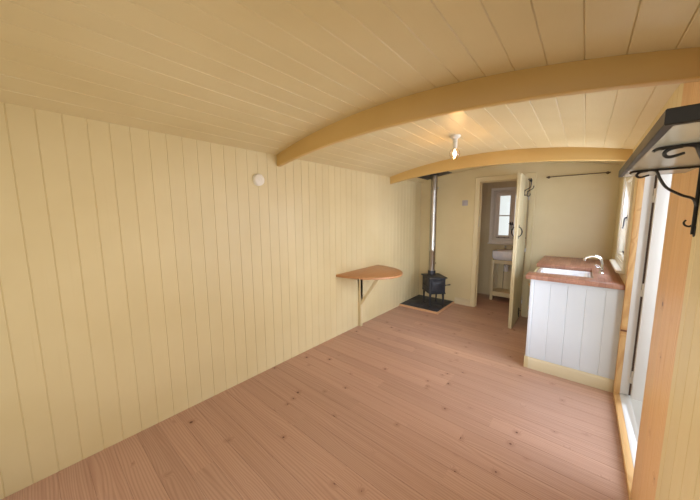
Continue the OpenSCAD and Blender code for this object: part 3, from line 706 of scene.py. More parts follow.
class Form:
    """A piece's mesh while it is drawn, in its own frame."""

    def __init__(self, name: str) -> None:
        """Starts an empty piece of that name."""
        self.name = name
        self.bm = bmesh.new()

    def loft(self, rings: Sequence[Sequence[Vector]], looped: bool = False, arris: float = 0.0,
             steps: int = 1) -> None:
        """Joins closed rings of points to a solid.

        Args:
            rings: rings with the same number of points.
            looped: whether the last ring joins the first, in place of two end faces.
            arris: width of the bevel on sharp edges.
            steps: segments of the bevel.
        """
        made = [[self.bm.verts.new(p) for p in ring] for ring in rings]
        faces = []
        pairs = list(zip(made, made[1:])) + ([(made[-1], made[0])] if looped else [])
        for a, b in pairs:
            for i in range(len(a)):
                j = (i + 1) % len(a)
                faces.append(self.bm.faces.new((a[i], a[j], b[j], b[i])))
        if not looped:
            faces += [self.bm.faces.new(made[0][::-1]), self.bm.faces.new(made[-1])]
        bmesh.ops.recalc_face_normals(self.bm, faces=faces)
        if arris > 0:
            bmesh.ops.bevel(self.bm, geom=sharp_edges(faces), offset=arris, segments=steps, profile=0.5,
                            affect="EDGES", clamp_overlap=True)

    def box(self, low: Point, high: Point, arris: float = 0.0015, steps: int = 1) -> None:
        """Box between two corners, with a bevel on its edges."""
        self.prism(corners(low, high), low[2], high[2], Axis.Z, arris, steps)

    def prism(self, outline: Pairs, low: float, high: float, axis: Axis = Axis.Z,
              arris: float = 0.0, steps: int = 1) -> None:
        """Outline drawn out along an axis from one level to another."""
        self.loft([ring_on(axis, outline, low), ring_on(axis, outline, high)], arris=arris, steps=steps)

    def frame(self, low: Point, high: Point, hole_low: Point, hole_high: Point, depth: Point,
              axis: Axis = Axis.Y, arris: float = 0.002) -> None:
        """Four-sided frame round a hole, with mitred corners.

        Args:
            low: outer low corner in the frame's plane.
            high: outer high corner.
            hole_low: the hole's low corner.
            hole_high: the hole's high corner.
            depth: levels of its two faces along the axis.
            axis: axis across the frame's plane.
            arris: width of the bevel.
        """
        rings = [[*ring_on(axis, [o], depth[0]), *ring_on(axis, [o], depth[1]), *ring_on(axis, [i], depth[1]),
                  *ring_on(axis, [i], depth[0])] for o, i in zip(corners(low, high), corners(hole_low, hole_high))]
        self.loft(rings, looped=True, arris=arris)

    def tiers(self, low: Point, high: Point, levels: Iterable[Point], steps: int = 5,
              waste: tuple[Point, Pairs] | None = None) -> None:
        """Solid of rounded rectangles one over another.

        Args:
            low: low corner of the rectangle that they all grow or shrink from.
            high: its high corner.
            levels: height, growth and corner radius of each, with the growth of its high side last if it differs.
            steps: segments of each corner.
            waste: centre of a round waste that the last one runs into, with its rings' radius and height.
        """
        rings = []
        for z, out, radius, *last in levels:
            top = (high[0] + out, high[1] + (last[0] if last else out))
            rings.append(ring_on(Axis.Z, rounded((low[0] - out, low[1] - out), top, radius, steps), z))
        if waste:
            centre = Vector(waste[0])
            ways = [(p.xy - centre).normalized() for p in rings[0]]
            rings += [[Vector((*(centre + way * radius), z)) for way in ways] for radius, z in waste[1]]
        self.loft(rings)

    def lathe(self, profile: Pairs, at: Point = (0, 0, 0), axis: Axis = Axis.Z, steps: int = 48,
              looped: bool = False) -> None:
        """Turned shape about an axis through a point.

        Args:
            profile: pairs of radius and distance along the axis.
            at: point that the distances start from.
            axis: the axis.
            steps: sides of each ring.
            looped: whether the profile is a closed section, such as a tube's.
        """
        rings = []
        for radius, level in profile:
            ring = ring_on(axis, circle(max(radius, 1e-7), steps), level)
            rings.append([p + Vector(at) for p in ring])
        self.loft(rings, looped=looped)

    def ball(self, at: Point, radius: float, steps: int = 16) -> None:
        """Ball about a point."""
        profile = [(radius * math.sin(math.pi * i / 8), -radius * math.cos(math.pi * i / 8)) for i in range(9)]
        self.lathe(profile, at, steps=steps)

    def tube(self, path: Pairs, radius: float | Sequence[float], sides: int = 12,
             flat: float = 1.0) -> None:
        """Round or oval bar along a path.

        Args:
            path: points of its centre line.
            radius: its radius, or one for each point.
            sides: sides of each ring.
            flat: how much wider it is across the path's plane than in it.
        """
        spots = [Vector(p) for p in path]
        sizes = [radius] * len(spots) if isinstance(radius, (int, float)) else list(radius)
        way = (spots[1] - spots[0]).normalized()
        side = way.orthogonal().normalized()
        if len(spots) > 2:
            plane = (spots[1] - spots[0]).cross(spots[-1] - spots[0])
            side = plane.normalized() if plane.length > 1e-9 else side
        rings = []
        for i, spot in enumerate(spots):
            ahead = spots[min(i + 1, len(spots) - 1)] - spots[max(i - 1, 0)]
            way = ahead.normalized()
            side = (side - way * side.dot(way)).normalized()
            up = way.cross(side)
            rings.append([spot + side * (sizes[i] * flat * math.cos(math.tau * k / sides))
                          + up * (sizes[i] * math.sin(math.tau * k / sides)) for k in range(sides)])
        self.loft(rings)

    def moulding(self, section: Pairs, path: Pairs, normal: Point,
                 closed: bool = False) -> None:
        """Section drawn along a flat path with mitred corners.

        Args:
            section: pairs of distance to the path's left and height along the normal.
            path: corner points.
            normal: direction out of the path's plane.
            closed: whether the path returns to its start.
        """
        spots = [Vector(p) for p in path]
        up = Vector(normal).normalized()
        count = len(spots)
        rings = []
        for i, spot in enumerate(spots):
            before = spots[i - 1] if closed or i else None
            after = spots[(i + 1) % count] if closed or i < count - 1 else None
            lefts = []
            if before is not None:
                lefts.append(up.cross(spot - before).normalized())
            if after is not None:
                lefts.append(up.cross(after - spot).normalized())
            mitre = lefts[0] if len(lefts) == 1 else (lefts[0] + lefts[1]) / (1 + lefts[0].dot(lefts[1]))
            rings.append([spot + mitre * a + up * b for a, b in section])
        self.loft(rings, looped=closed)

    def mesh(self, place: Matrix | None = None) -> Mesh:
        """Gives the drawn piece as a mesh, set in its place.

        Args:
            place: where the piece's own frame stands in the row frame.

        Returns:
            The mesh, with merged seams and faces that look outwards.
        """
        if place is not None:
            self.bm.transform(place)
        bmesh.ops.remove_doubles(self.bm, verts=self.bm.verts, dist=2e-6)
        bmesh.ops.recalc_face_normals(self.bm, faces=self.bm.faces)
        made = bpy.data.meshes.new(self.name)
        self.bm.to_mesh(made)
        self.bm.free()
        return made

    def done(self, finish: Finish, slot: str, *nodes: str, place: Matrix | None = None,
             **more: str | float) -> None:
        """Finishes the piece as finished() does, from its place in the row frame."""
        finished(self.name, self.mesh(place), finish, slot, *nodes, **more)


def finished(name: str, mesh: Mesh, finish: Finish, slot: str, *nodes: str, body: str = HUT,
             smooth_deg: float = 32.0) -> None:
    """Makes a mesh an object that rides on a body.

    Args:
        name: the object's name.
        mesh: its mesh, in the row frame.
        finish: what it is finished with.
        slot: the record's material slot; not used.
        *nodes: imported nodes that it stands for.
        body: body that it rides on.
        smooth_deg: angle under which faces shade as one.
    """
    mesh.name = name
    mesh.materials.clear()
    mesh.materials.append(finish.material())
    mesh.polygons.foreach_set("material_index", [0] * len(mesh.polygons))
    mesh.polygons.foreach_set("use_smooth", [True] * len(mesh.polygons))
    mesh.set_sharp_from_angle(angle=math.radians(smooth_deg))
    made = bpy.data.objects.new(name, mesh)
    bpy.context.scene.collection.objects.link(made)
    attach(made, body)
    if nodes:
        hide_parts(*nodes)
    log.info("%s: %d faces on %s", name, len(mesh.polygons), body)


def placed(mesh: Mesh, place: Matrix) -> Mesh:
    """Moves a mesh to its place, and turns its faces outwards again where the place mirrors it."""
    mesh.transform(place)
    if place.determinant() < 0:
        mesh.flip_normals()
    return mesh


def trimmed(mesh: Mesh, cuts: Iterable[tuple[Point, Point]]) -> Mesh:
    """Cuts a mesh off beyond some planes and closes what they open.

    Args:
        mesh: the mesh, of closed shells.
        cuts: a point of each plane and the direction that is cut away.

    Returns:
        The same mesh.
    """
    bm = bmesh.new()
    bm.from_mesh(mesh)
    for spot, away in cuts:
        geometry = bm.verts[:] + bm.edges[:] + bm.faces[:]
        cut = bmesh.ops.bisect_plane(bm, geom=geometry, dist=1e-6, plane_co=spot, plane_no=away,
                                     clear_outer=True)["geom_cut"]
        edges = [e for e in cut if isinstance(e, bmesh.types.BMEdge) and e.is_boundary]
        bmesh.ops.edgenet_fill(bm, edges=edges)
    bmesh.ops.recalc_face_normals(bm, faces=bm.faces)
    bm.to_mesh(mesh)
    bm.free()
    return mesh


def under_arc(mesh: Mesh, arc: Arc, above: float) -> Mesh:
    """Moves every point above a level to an arc's height over it."""
    for vertex in mesh.vertices:
        if vertex.co.z > above:
            vertex.co.z = arc.at(vertex.co.x)
    return mesh


def repeated(mesh: Mesh, count: int, step: Point = (0, 0, 0), turn: Point = (0, 0, 0),
             start_turn: Point = (0, 0, 0), offset: Point = (0, 0, 0), seed: int = 0) -> Mesh:
    """Repeats a piece along a line or about an axis.

    Args:
        mesh: the piece.
        count: how many there are.
        step: from each to the next.
        turn: turn from each to the next, about the piece's own origin, in radians.
        start_turn: turn of the first.
        offset: where the row starts.
        seed: seed of the pieces' own numbers.

    Returns:
        The whole row as one mesh.
    """
    ways = {"Step": step, "Turn": turn, "Start turn": start_turn, "Offset": offset}
    return run_tree(REPEAT, mesh, {"Count": count, "Seed": seed,
                                   **{key: tuple(map(float, way)) for key, way in ways.items()}})


@dataclass
class Boarding:
    """Upright boards edge to edge over one face of a wall, with a V at each joint, round a hole if it has one.

    They run along X or Y over a span, and their face looks out along the other axis.
    """

    name: str
    finish: Finish
    slot: str
    node: str
    run: Axis
    face: float
    out: int
    span: tuple[float, float]
    low: float = ROOM.floor
    high: float | Arc = ROOM.vault
    width: float = ROOM.board
    phase: float = 0.0
    thick: float = ROOM.lining
    joint: float = 0.0034
    hole: tuple[float, float, float, float] | None = None
    seed: int = 1

    def at(self, along: float, across: float) -> tuple[float, float]:
        """Pair of a place along the run and one across it, in the row frame's order."""
        return (along, across) if self.run is Axis.X else (across, along)

    def patch(self, part: str, a: float, b: float, low: float, high: float) -> None:
        """Boards between two distances from the span's start and two levels.

        Args:
            part: end of the piece's name.
            a: distance that they start at.
            b: distance that they end at.
            low: level of their feet.
            high: level of their tops.
        """
        w, t, c = self.width, self.thick, self.joint
        first = math.floor((a - self.phase) / w + 1e-6)
        count = math.ceil((b - self.phase) / w - 1e-6) - first
        begin = self.phase + first * w
        form = Form("board")
        outline = ((0, t), (0, c), (c, 0), (w - c, 0), (w, c), (w, t))
        form.prism([self.at(along, -self.out * deep) for along, deep in outline], low, high)
        unit = Vector((*self.at(1, 0), 0))
        corner = Vector((*self.at(self.span[0], self.face), 0))
        mesh = repeated(form.mesh(), count, unit * w, offset=corner + unit * begin, seed=self.seed + len(part))
        cuts = [(corner + unit * a, -unit)] if begin < a - 1e-6 else []
        if begin + count * w > b + 1e-6:
            cuts.append((corner + unit * b, unit))
        trimmed(mesh, cuts)
        if isinstance(self.high, Arc) and high > self.high.spring:
            under_arc(mesh, self.high, high - 0.01)
        finished(self.name + part, mesh, self.finish, self.slot, self.node)

    def build(self) -> None:
        """Builds the boards of each part of the wall."""
        top = self.high if isinstance(self.high, float) else self.high.spring + self.high.rise
        end = self.span[1] - self.span[0]
        parts = (("", 0.0, end, self.low, top),)
        if self.hole is not None:
            a, b, low, high = (*(place - self.span[0] for place in self.hole[:2]), *self.hole[2:])
            parts = (("_before", 0.0, a, self.low, top), ("_after", b, end, self.low, top),
                     ("_under", a, b, self.low, low), ("_over", a, b, high, top))
        for part in parts:
            self.patch(*part)


class Fixings:
    """Screws or nails of one sub-assembly, gathered while it is built."""

    def __init__(self) -> None:
        """Starts with none."""
        self.marks: list[tuple[Vector, Vector]] = []

    def mark(self, at: Point, facing: Point, place: Matrix | None = None) -> None:
        """Notes a fixing at a point, with its head facing a direction."""
        spot, way = Vector(at), Vector(facing)
        if place is not None:
            spot, way = place @ spot, (place.to_3x3() @ way).normalized()
        self.marks.append((spot, way))

    def build(self, name: str, finish: Finish, slot: str, body: str = HUT, radius: float = 0.0038,
              slotted: bool = True, seed: int = 3) -> None:
        """Sets a head at every mark.

        Args:
            name: the piece's name.
            finish: what the heads are finished with.
            slot: the record's material slot.
            body: body that they ride on.
            radius: the head's radius.
            slotted: whether the head has a slot, in place of a plain dome.
            seed: seed of the way that the slots point.
        """
        form, r, sunk = Form("head"), radius, -0.0005
        if slotted:
            for side in (-1, 1):
                turns = [math.radians(9 + 162 * i / 8) for i in range(9)]
                form.prism([(side * r * math.cos(a), side * r * math.sin(a)) for a in turns], sunk, r * 0.35,
                           arris=r * 0.16)
            form.lathe([(0, sunk), (r * 0.97, sunk), (r * 0.97, r * 0.12), (0, r * 0.12)], steps=16)
        else:
            form.lathe([(0, sunk), (r, sunk), (r * 0.92, r * 0.35), (r * 0.5, r * 0.62), (0, r * 0.7)], steps=16)
        head = bpy.data.objects.new("head", form.mesh())
        points = bpy.data.meshes.new("marks")
        points.from_pydata([tuple(spot) for spot, _ in self.marks], [], [])
        facing = points.attributes.new("facing", "FLOAT_VECTOR", "POINT")
        facing.data.foreach_set("vector", [c for _, way in self.marks for c in way])
        mesh = run_tree(FIXINGS, points, {"Piece": head, "Seed": seed, "Material": finish.material()})
        bpy.data.objects.remove(head)
        finished(name, mesh, finish, slot, body=body)


def set_place(at: Point, turn_deg: float = 0.0, mirror_y: bool = False) -> Matrix:
    """Place of a sub-assembly: a point, a turn about Z and a mirror across its own Y."""
    return (Matrix.Translation(Vector(at)) @ Matrix.Rotation(math.radians(turn_deg), 4, "Z")
            @ Matrix.Diagonal((1, -1 if mirror_y else 1, 1, 1)))


# Finishes of this hut

BRUSHED = "brushed_eggshell_"
CREAM = Paint(BRUSHED + "cream_upright", "#dbcca0", shade="#d2c192", spread=0.018)
CREAM_LONG = Paint(BRUSHED + "cream_lengthwise", "#dccda3", shade="#d3c294", along=Axis.Y, spread=0.020)
CREAM_ACROSS = Paint(BRUSHED + "cream_crosswise", "#d9ccaa", shade="#d0c29c", along=Axis.X, spread=0.0)
BOW_PAINT = Paint(BRUSHED + "bow", "#cfae6c", shade="#c5a25f", along=Axis.X, spread=0.0, sheen=0.38)
DOOR_PAINT = Paint("satin_cream_door", "#d3c8a2", shade="#cabd94", spread=0.02, sheen=0.46)
WHITE_PAINT = Paint("satin_white_joinery", "#e4e4e2", shade="#dcdcda", spread=0.015, sheen=0.34)
WINDOW_PAINT = Paint("satin_cream_joinery", "#e5e1d0", shade="#dcd7c4", spread=0.0, sheen=0.36)
UNIT_PAINT = Paint("eggshell_pale_blue_white", "#d5dadb", shade="#cbd0d3", spread=0.012)
# Boards that have stood outside: duller than the room's, and further apart in shade.
OUTER_PAINT = Paint("weathered_boards_sage", "#b9bda6", shade="#aeb29a", spread=0.035, sheen=0.55)
# Sealed floor pine: pinkish, worn to a low sheen, with a few small knots.
FLOOR_PINE = Timber("sealed_pine_planks", "#bf9b86", dark="#9e7765", knot="#5f3626", ring_mm=13.0, knots=0.42,
                    gloss=0.42, spread=0.085, ring_show=0.42)
# Oiled pine glows warmer than paint and keeps its rings and knots.
PINE = dict(colour="#deb67c", dark="#be8a52", knot="#6b3c1c", thin=Axis.X, ring_mm=11.0, knots=0.5, gloss=0.38,
            spread=0.06)
OILED_PINE = Timber("oiled_knotty_pine", along=Axis.Z, **PINE)
OILED_PINE_RAIL = Timber("oiled_knotty_pine_rails", along=Axis.Y, **PINE)
# Sawn softwood is matt, because the saw leaves it rough.
SAWN = dict(knot="#543a24", ring_mm=10.0, knots=0.5, gloss=0.72, spread=0.06)
SAWN_FRAME = Timber("sawn_softwood_frame", "#a98f6c", dark="#86694a", **SAWN)
SAWN_LONG = Timber("sawn_softwood_lengthwise", "#ab9270", dark="#8a6e4e", along=Axis.Y, **SAWN)
# A sprayed board has no brush strokes, only a smooth satin sheen. Its pale grey is partly the board's own colour and
# partly painted reflection of window light on a darker board.
SHELF_PAINT_AND_REFLECTION = Coated("sprayed_satin_grey_board", "#c2c8c1", "#bac0b9", 0.24, 3.0, 0.01, 2.0)
# Factory coat on steel: even, satin, with a trace of dust.
ROOF_COAT = Coated("stove_coated_steel_sheet", "#56625b", "#4b5750", 0.42, 2.0, 0.05, 1.7)
# Japanned iron shines softly over a hammered face, and screws are smoother.
BLACK_IRON = Coated("black_japanned_iron", "#1b1b1d", "#131315", 0.40, 2.4, 0.16, 30.0)
SCREW_IRON = Coated("black_screw_iron", "#232325", "#18181a", 0.38, 1.0, 0.02, 60.0)
FLOAT_GLASS = Glass("float_glass", "#f2f8f5")
# Zinc plating is a grey, slightly cloudy mirror.
ZINC = Metal("zinc_plated_steel", "#b9bcbe", roughness=0.34)


@dataclass
class Shell:
    """Floor, walls, ceiling, bows and roof of the section."""

    plank: float = 0.1224
    plank_thick: float = 0.022
    cladding_board: float = 0.1185
    core_end: float = 2.878
    ceiling_board: float = 0.129
    ceiling_count: int = 22
    ceiling_at: float = 0.023
    bow_thick: float = 0.050
    bow_seat: float = 0.060
    bow_arris: float = 0.007
    bows: tuple[tuple[str, float], ...] = (("near_bow", -2.95), ("middle_bow", -1.0), ("far_bow", 0.95))
    sheet_radius: float = 5.24377
    sheet_half: float = 1.391
    sheet_pitch: float = 0.0762
    sheet_depth: float = 0.0165
    sheet_thick: float = 0.0012
    sheet_over: float = 0.030
    entrance: tuple[float, float] = (-0.758, 0.419)
    entrance_near: float = -0.721
    entrance_head: float = 2.057
    pine_panel: float = -1.138
    kitchen_hole: tuple[float, float, float, float] = (0.595, 1.255, 1.2, 1.96)
    end_hole: tuple[float, float, float, float] = (-0.29, 0.29, 1.17, 2.045)

    def floor(self) -> None:
        """Pine planks across the hut, with staggered joints, on the sawn floor frame."""
        w, t, a = self.plank, self.plank_thick, 0.0016
        form = Form("plank")
        form.prism([(0, -t), (0, -a), (a, 0), (w - a, 0), (w, -a), (w, -t)], 0.0, 1.0, Axis.X)
        mesh = run_tree(PLANKS, form.mesh(), {
            "Rows": math.ceil((ROOM.far - ROOM.near) / w), "Pitch": w, "Half": ROOM.outer, "Joint spread": 0.85,
            "Offset": (0.0, ROOM.near, ROOM.floor), "Seed": 11, "Material": FLOOR_PINE.material()})
        trimmed(mesh, [((0, ROOM.far, 0), (0, 1, 0))])
        finished("floor_planks", mesh, FLOOR_PINE, "pine_floor", "floor_boards")

    def linings(self) -> None:
        """V-jointed lining boards of both sides and of the washroom's end."""
        end = self.entrance[1]
        for name, side, span, low, seed, phase, hole in (
                ("left_lining", -1, (ROOM.near, ROOM.end_face), ROOM.floor, 1, 0.081 - ROOM.board, None),
                ("right_lining_near", 1, (ROOM.near, self.pine_panel), ROOM.floor, 2, 0.0, None),
                ("right_lining_over_entrance", 1, (self.entrance_near, end), self.entrance_head, 3, 0.0, None),
                ("right_lining_far", 1, (end, ROOM.end_face), ROOM.floor, 4, 0.02, self.kitchen_hole)):
            Boarding(name, CREAM, "cream_paint", "side_linings", Axis.Y, side * ROOM.half, -side, span, low,
                     seed=seed, phase=phase, hole=hole).build()
        Boarding("end_lining", CREAM, "cream_paint", "end_wall", Axis.X, ROOM.end_face, -1,
                 (-ROOM.half, ROOM.half), hole=self.end_hole, seed=5, phase=0.06).build()

    def core(self, name: str, node: str, run: Axis, span: Point, faces: Point, low: float,
             hole: Point | None) -> None:
        """Framed part of a wall between its lining and its cladding, under the vault and round a hole.

        Args:
            name: the piece's name.
            node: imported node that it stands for.
            run: axis that the wall runs along.
            span: where the wall starts and ends along it.
            faces: places of its two faces on the other axis.
            low: level of the wall's foot.
            hole: the hole's two places along the wall, its sill and its head.
        """
        form = Form(name)
        spans = [(*span, low, None)]
        if hole is not None:
            a, b, sill, head = hole
            spans = [(span[0], a, low, None), (b, span[1], low, None), (a, b, low, sill), (a, b, head, None)]
        for a, b, foot, top in spans:
            if run is Axis.Y:
                high = ROOM.vault.at(max(map(abs, faces))) if top is None else top
                form.box((faces[0], a, foot), (faces[1], b, high), 0.0)
                continue
            count = 1 if top is not None else max(2, round((b - a) / 0.09))
            line = [a + (b - a) * i / count for i in range(count, -1, -1)]
            form.prism([(a, foot), (b, foot)] + [(x, ROOM.vault.at(x) if top is None else top) for x in line],
                       *faces, Axis.Y)
        form.done(SAWN_FRAME, "outer_paint", node)

    def outside(self) -> None:
        """Painted upright boards outside, on the walls' framed parts."""
        t, inner, skin = ROOM.cladding, ROOM.half + ROOM.lining, ROOM.outer - ROOM.cladding
        (a, b), near, far, end, floor = self.entrance, ROOM.near, ROOM.far - t, self.core_end, ROOM.floor
        right, over = (inner, skin), self.entrance_head
        for names, node, run, face, out, span, core_span, faces, low, hole, seed in (
                ("left_%s", "left_wall", Axis.Y, -ROOM.outer, -1, (near, far), (near, end), (-skin, -inner),
                 floor, None, 21),
                ("right_%s_near", "right_wall_near", Axis.Y, ROOM.outer, 1, (near, a), (near, a), right, floor,
                 None, 22),
                ("right_%s_over", "right_wall_over_door", Axis.Y, ROOM.outer, 1, (a, b), (a, b), right, over,
                 None, 23),
                ("right_%s_far", "right_wall_far", Axis.Y, ROOM.outer, 1, (b, far), (b, end), right, floor,
                 self.kitchen_hole, 24),
                ("end_%s", "end_wall", Axis.X, ROOM.far, 1, (-ROOM.outer, ROOM.outer), (-skin, skin), (end, far),
                 floor, self.end_hole, 25)):
            Boarding(names % "cladding", OUTER_PAINT, "outer_paint", node, run, face, out, span, low,
                     width=self.cladding_board, thick=t, joint=0.004, hole=hole, seed=seed).build()
            self.core(names % "framing", node, run, core_span, faces, low, hole)

    def ceiling(self) -> None:
        """V-jointed boards along the hut, each turned to its place on the vault."""
        w, t, c, r, count = self.ceiling_board, ROOM.lining, 0.0038, ROOM.vault.radius, self.ceiling_count
        form = Form("ceiling_board")
        form.prism([(-w / 2, r + t), (-w / 2, r + c), (c - w / 2, r), (w / 2 - c, r), (w / 2, r + c),
                    (w / 2, r + t)], ROOM.near, ROOM.far, Axis.Y)
        first = math.asin(self.ceiling_at / r) - w / r * (count // 2 - 0.5)
        mesh = repeated(form.mesh(), count, turn=(0, w / r, 0), start_turn=(0, first, 0),
                        offset=(0, 0, ROOM.vault.centre), seed=31)
        trimmed(mesh, [((s * ROOM.outer, 0, 0), (s, 0, 0)) for s in (-1, 1)])
        finished("ceiling_planks", mesh, CREAM_LONG, "cream_paint", "ceiling_boards")

    def arches(self) -> None:
        """Bows: deep at the crown, thin at the walls, with eased lower edges."""
        half, a, steps = ROOM.half + self.bow_seat, self.bow_arris, 48
        for name, near in self.bows:
            form = Form(name + "_beam")
            far, rings = near + self.bow_thick, []
            for i in range(steps + 1):
                x = -half + 2 * half * i / steps
                top, low = ROOM.vault.at(x), ROOM.bow.at(x)
                rings.append(ring_on(Axis.X, [
                    (near, top), (near, low + a), (near + a * 0.35, low + a * 0.35), (near + a, low),
                    (far - a, low), (far - a * 0.35, low + a * 0.35), (far, low + a), (far, top)], x))
            form.loft(rings)
            form.done(BOW_PAINT, "bow_paint", name, smooth_deg=40)

    def roof(self) -> None:
        """Corrugated sheet with its fixings, over the sawn roof layer."""
        half_angle = math.asin(self.sheet_half / self.sheet_radius)
        mesh = run_tree(SHEET, bpy.data.meshes.new("sheet_seed"), {
            "Half angle": half_angle, "Length": ROOM.far - ROOM.near + 2 * self.sheet_over,
            "Radius": self.sheet_radius, "Pitch": self.sheet_pitch, "Depth": self.sheet_depth - self.sheet_thick,
            "Centre": ROOM.vault.centre, "Across": 25, "Along": 626, "Material": ROOF_COAT.material()})
        sheet = bpy.data.objects.new("roof_sheet_raw", mesh)
        bpy.context.scene.collection.objects.link(sheet)
        solid = sheet.modifiers.new("thick", "SOLIDIFY")
        solid.thickness, solid.offset = self.sheet_thick, 0.0
        graph = bpy.context.evaluated_depsgraph_get()
        mesh = bpy.data.meshes.new_from_object(sheet.evaluated_get(graph), depsgraph=graph)
        bpy.data.objects.remove(sheet)
        finished("corrugated_roof", mesh, ROOF_COAT, "roof_steel", "roof_sheet", smooth_deg=60)
        heads, every = Fixings(), 3 * self.sheet_pitch
        crest = round(ROOM.near / self.sheet_pitch) * self.sheet_pitch + self.sheet_pitch / 4
        for row in range(7):
            angle = half_angle * 0.965 * (row / 3 - 1)
            way = Vector((math.sin(angle), 0, math.cos(angle)))
            y = crest + every
            while y < ROOM.far:
                crown = way * (self.sheet_radius + self.sheet_depth / 2)
                heads.mark(Vector((0, y, ROOM.vault.centre)) + crown, way)
                y += every
        heads.build("roof_fixings", ZINC, "roof_steel", radius=0.008, slotted=False)

    def build(self) -> None:
        """Builds the whole shell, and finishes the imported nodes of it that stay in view."""
        for step in (self.floor, self.linings, self.outside, self.ceiling, self.arches, self.roof):
            step()
        for node, finish in (("floor_frame", SAWN_FRAME), ("roof_core", SAWN_LONG), ("roof_trim", OUTER_PAINT),
                             ("partition_left", CREAM), ("partition_right", CREAM), ("partition_over_door", CREAM),
                             ("door_frame", CREAM)):
            dress(node, finish)


def dress(node: str, finish: Finish) -> None:
    """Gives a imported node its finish."""
    made = frame["nodes"][node]
    made.data.materials.clear()
    made.data.materials.append(finish.material())


RUBBER = Coated("brown_sealing_rubber", "#5b4638", "#4f3c30", 0.6, 3.0, 0.02, 4.0)


class Side(Enum):
    """Face of a leaf: its planks or its frame."""

    PLANKS = -1
    FRAME = 1


def upright_path(x0: float, x1: float, z0: float, z1: float, y: float, outside: bool = False) -> list[Point]:
    """Corners round an opening in an X-Z plane, with the left of the path away from the opening.

    Args:
        x0: the opening's low side.
        x1: its high side.
        z0: its sill.
        z1: its head.
        y: the plane.
        outside: whether the path is seen from +Y, in place of -Y.

    Returns:
        Four corner points from a foot round to the other foot.
    """
    a, b = (x1, x0) if outside else (x0, x1)
    return [(a, y, z0), (a, y, z1), (b, y, z1), (b, y, z0)]


@dataclass
class Trim:
    """Architrave, skirting and strike plate of the partition's doorway."""

    left: float = -0.286
    right: float = 0.366
    head: float = 2.123
    width: float = 0.066
    skirting: float = 0.105
    proud: float = 0.016
    corner: float = -0.595
    unit: float = 0.618

    def build(self) -> None:
        """Builds the trim with its raised outer edge."""
        w, y, proud = self.width, ROOM.partition, self.proud
        form = Form("architrave")
        form.moulding(mm(0, 0, 0, 8, 2, 10.5, 6, 11.5) + [
            (w - 0.019, 0.0115), (w - 0.016, 0.0125), (w - 0.013, 0.0150), (w - 0.010, proud), (w - 0.003, proud),
            (w, 0.0135), (w, 0)], upright_path(self.left, self.right, ROOM.floor, self.head, y), (0, -1, 0))
        form.done(CREAM, "cream_paint", "partition_trim", smooth_deg=50)
        top = ROOM.floor + self.skirting
        outline = [(y, ROOM.floor), (y - proud, ROOM.floor)] + [(y - out, top - down) for out, down in (
            (proud, 0.024), (proud - 0.003, 0.020), (0.010, 0.016), (0.007, 0.008), (0.006, 0), (0, 0))]
        form = Form("skirting")
        form.prism(outline, self.corner, self.left - w, Axis.X)
        form.prism(outline, self.right + w, self.unit, Axis.X)
        form.done(CREAM_ACROSS, "cream_paint", "partition_trim", smooth_deg=50)
        form = Form("strike_plate")
        form.box((-0.2815, y + 0.006, 1.44), (-0.2795, y + 0.030, 1.60), 0.0006)
        form.box((-0.2825, y + 0.004, 1.49), (-0.2800, y + 0.020, 1.55), 0.0012)
        form.done(ZINC, "door_paint")


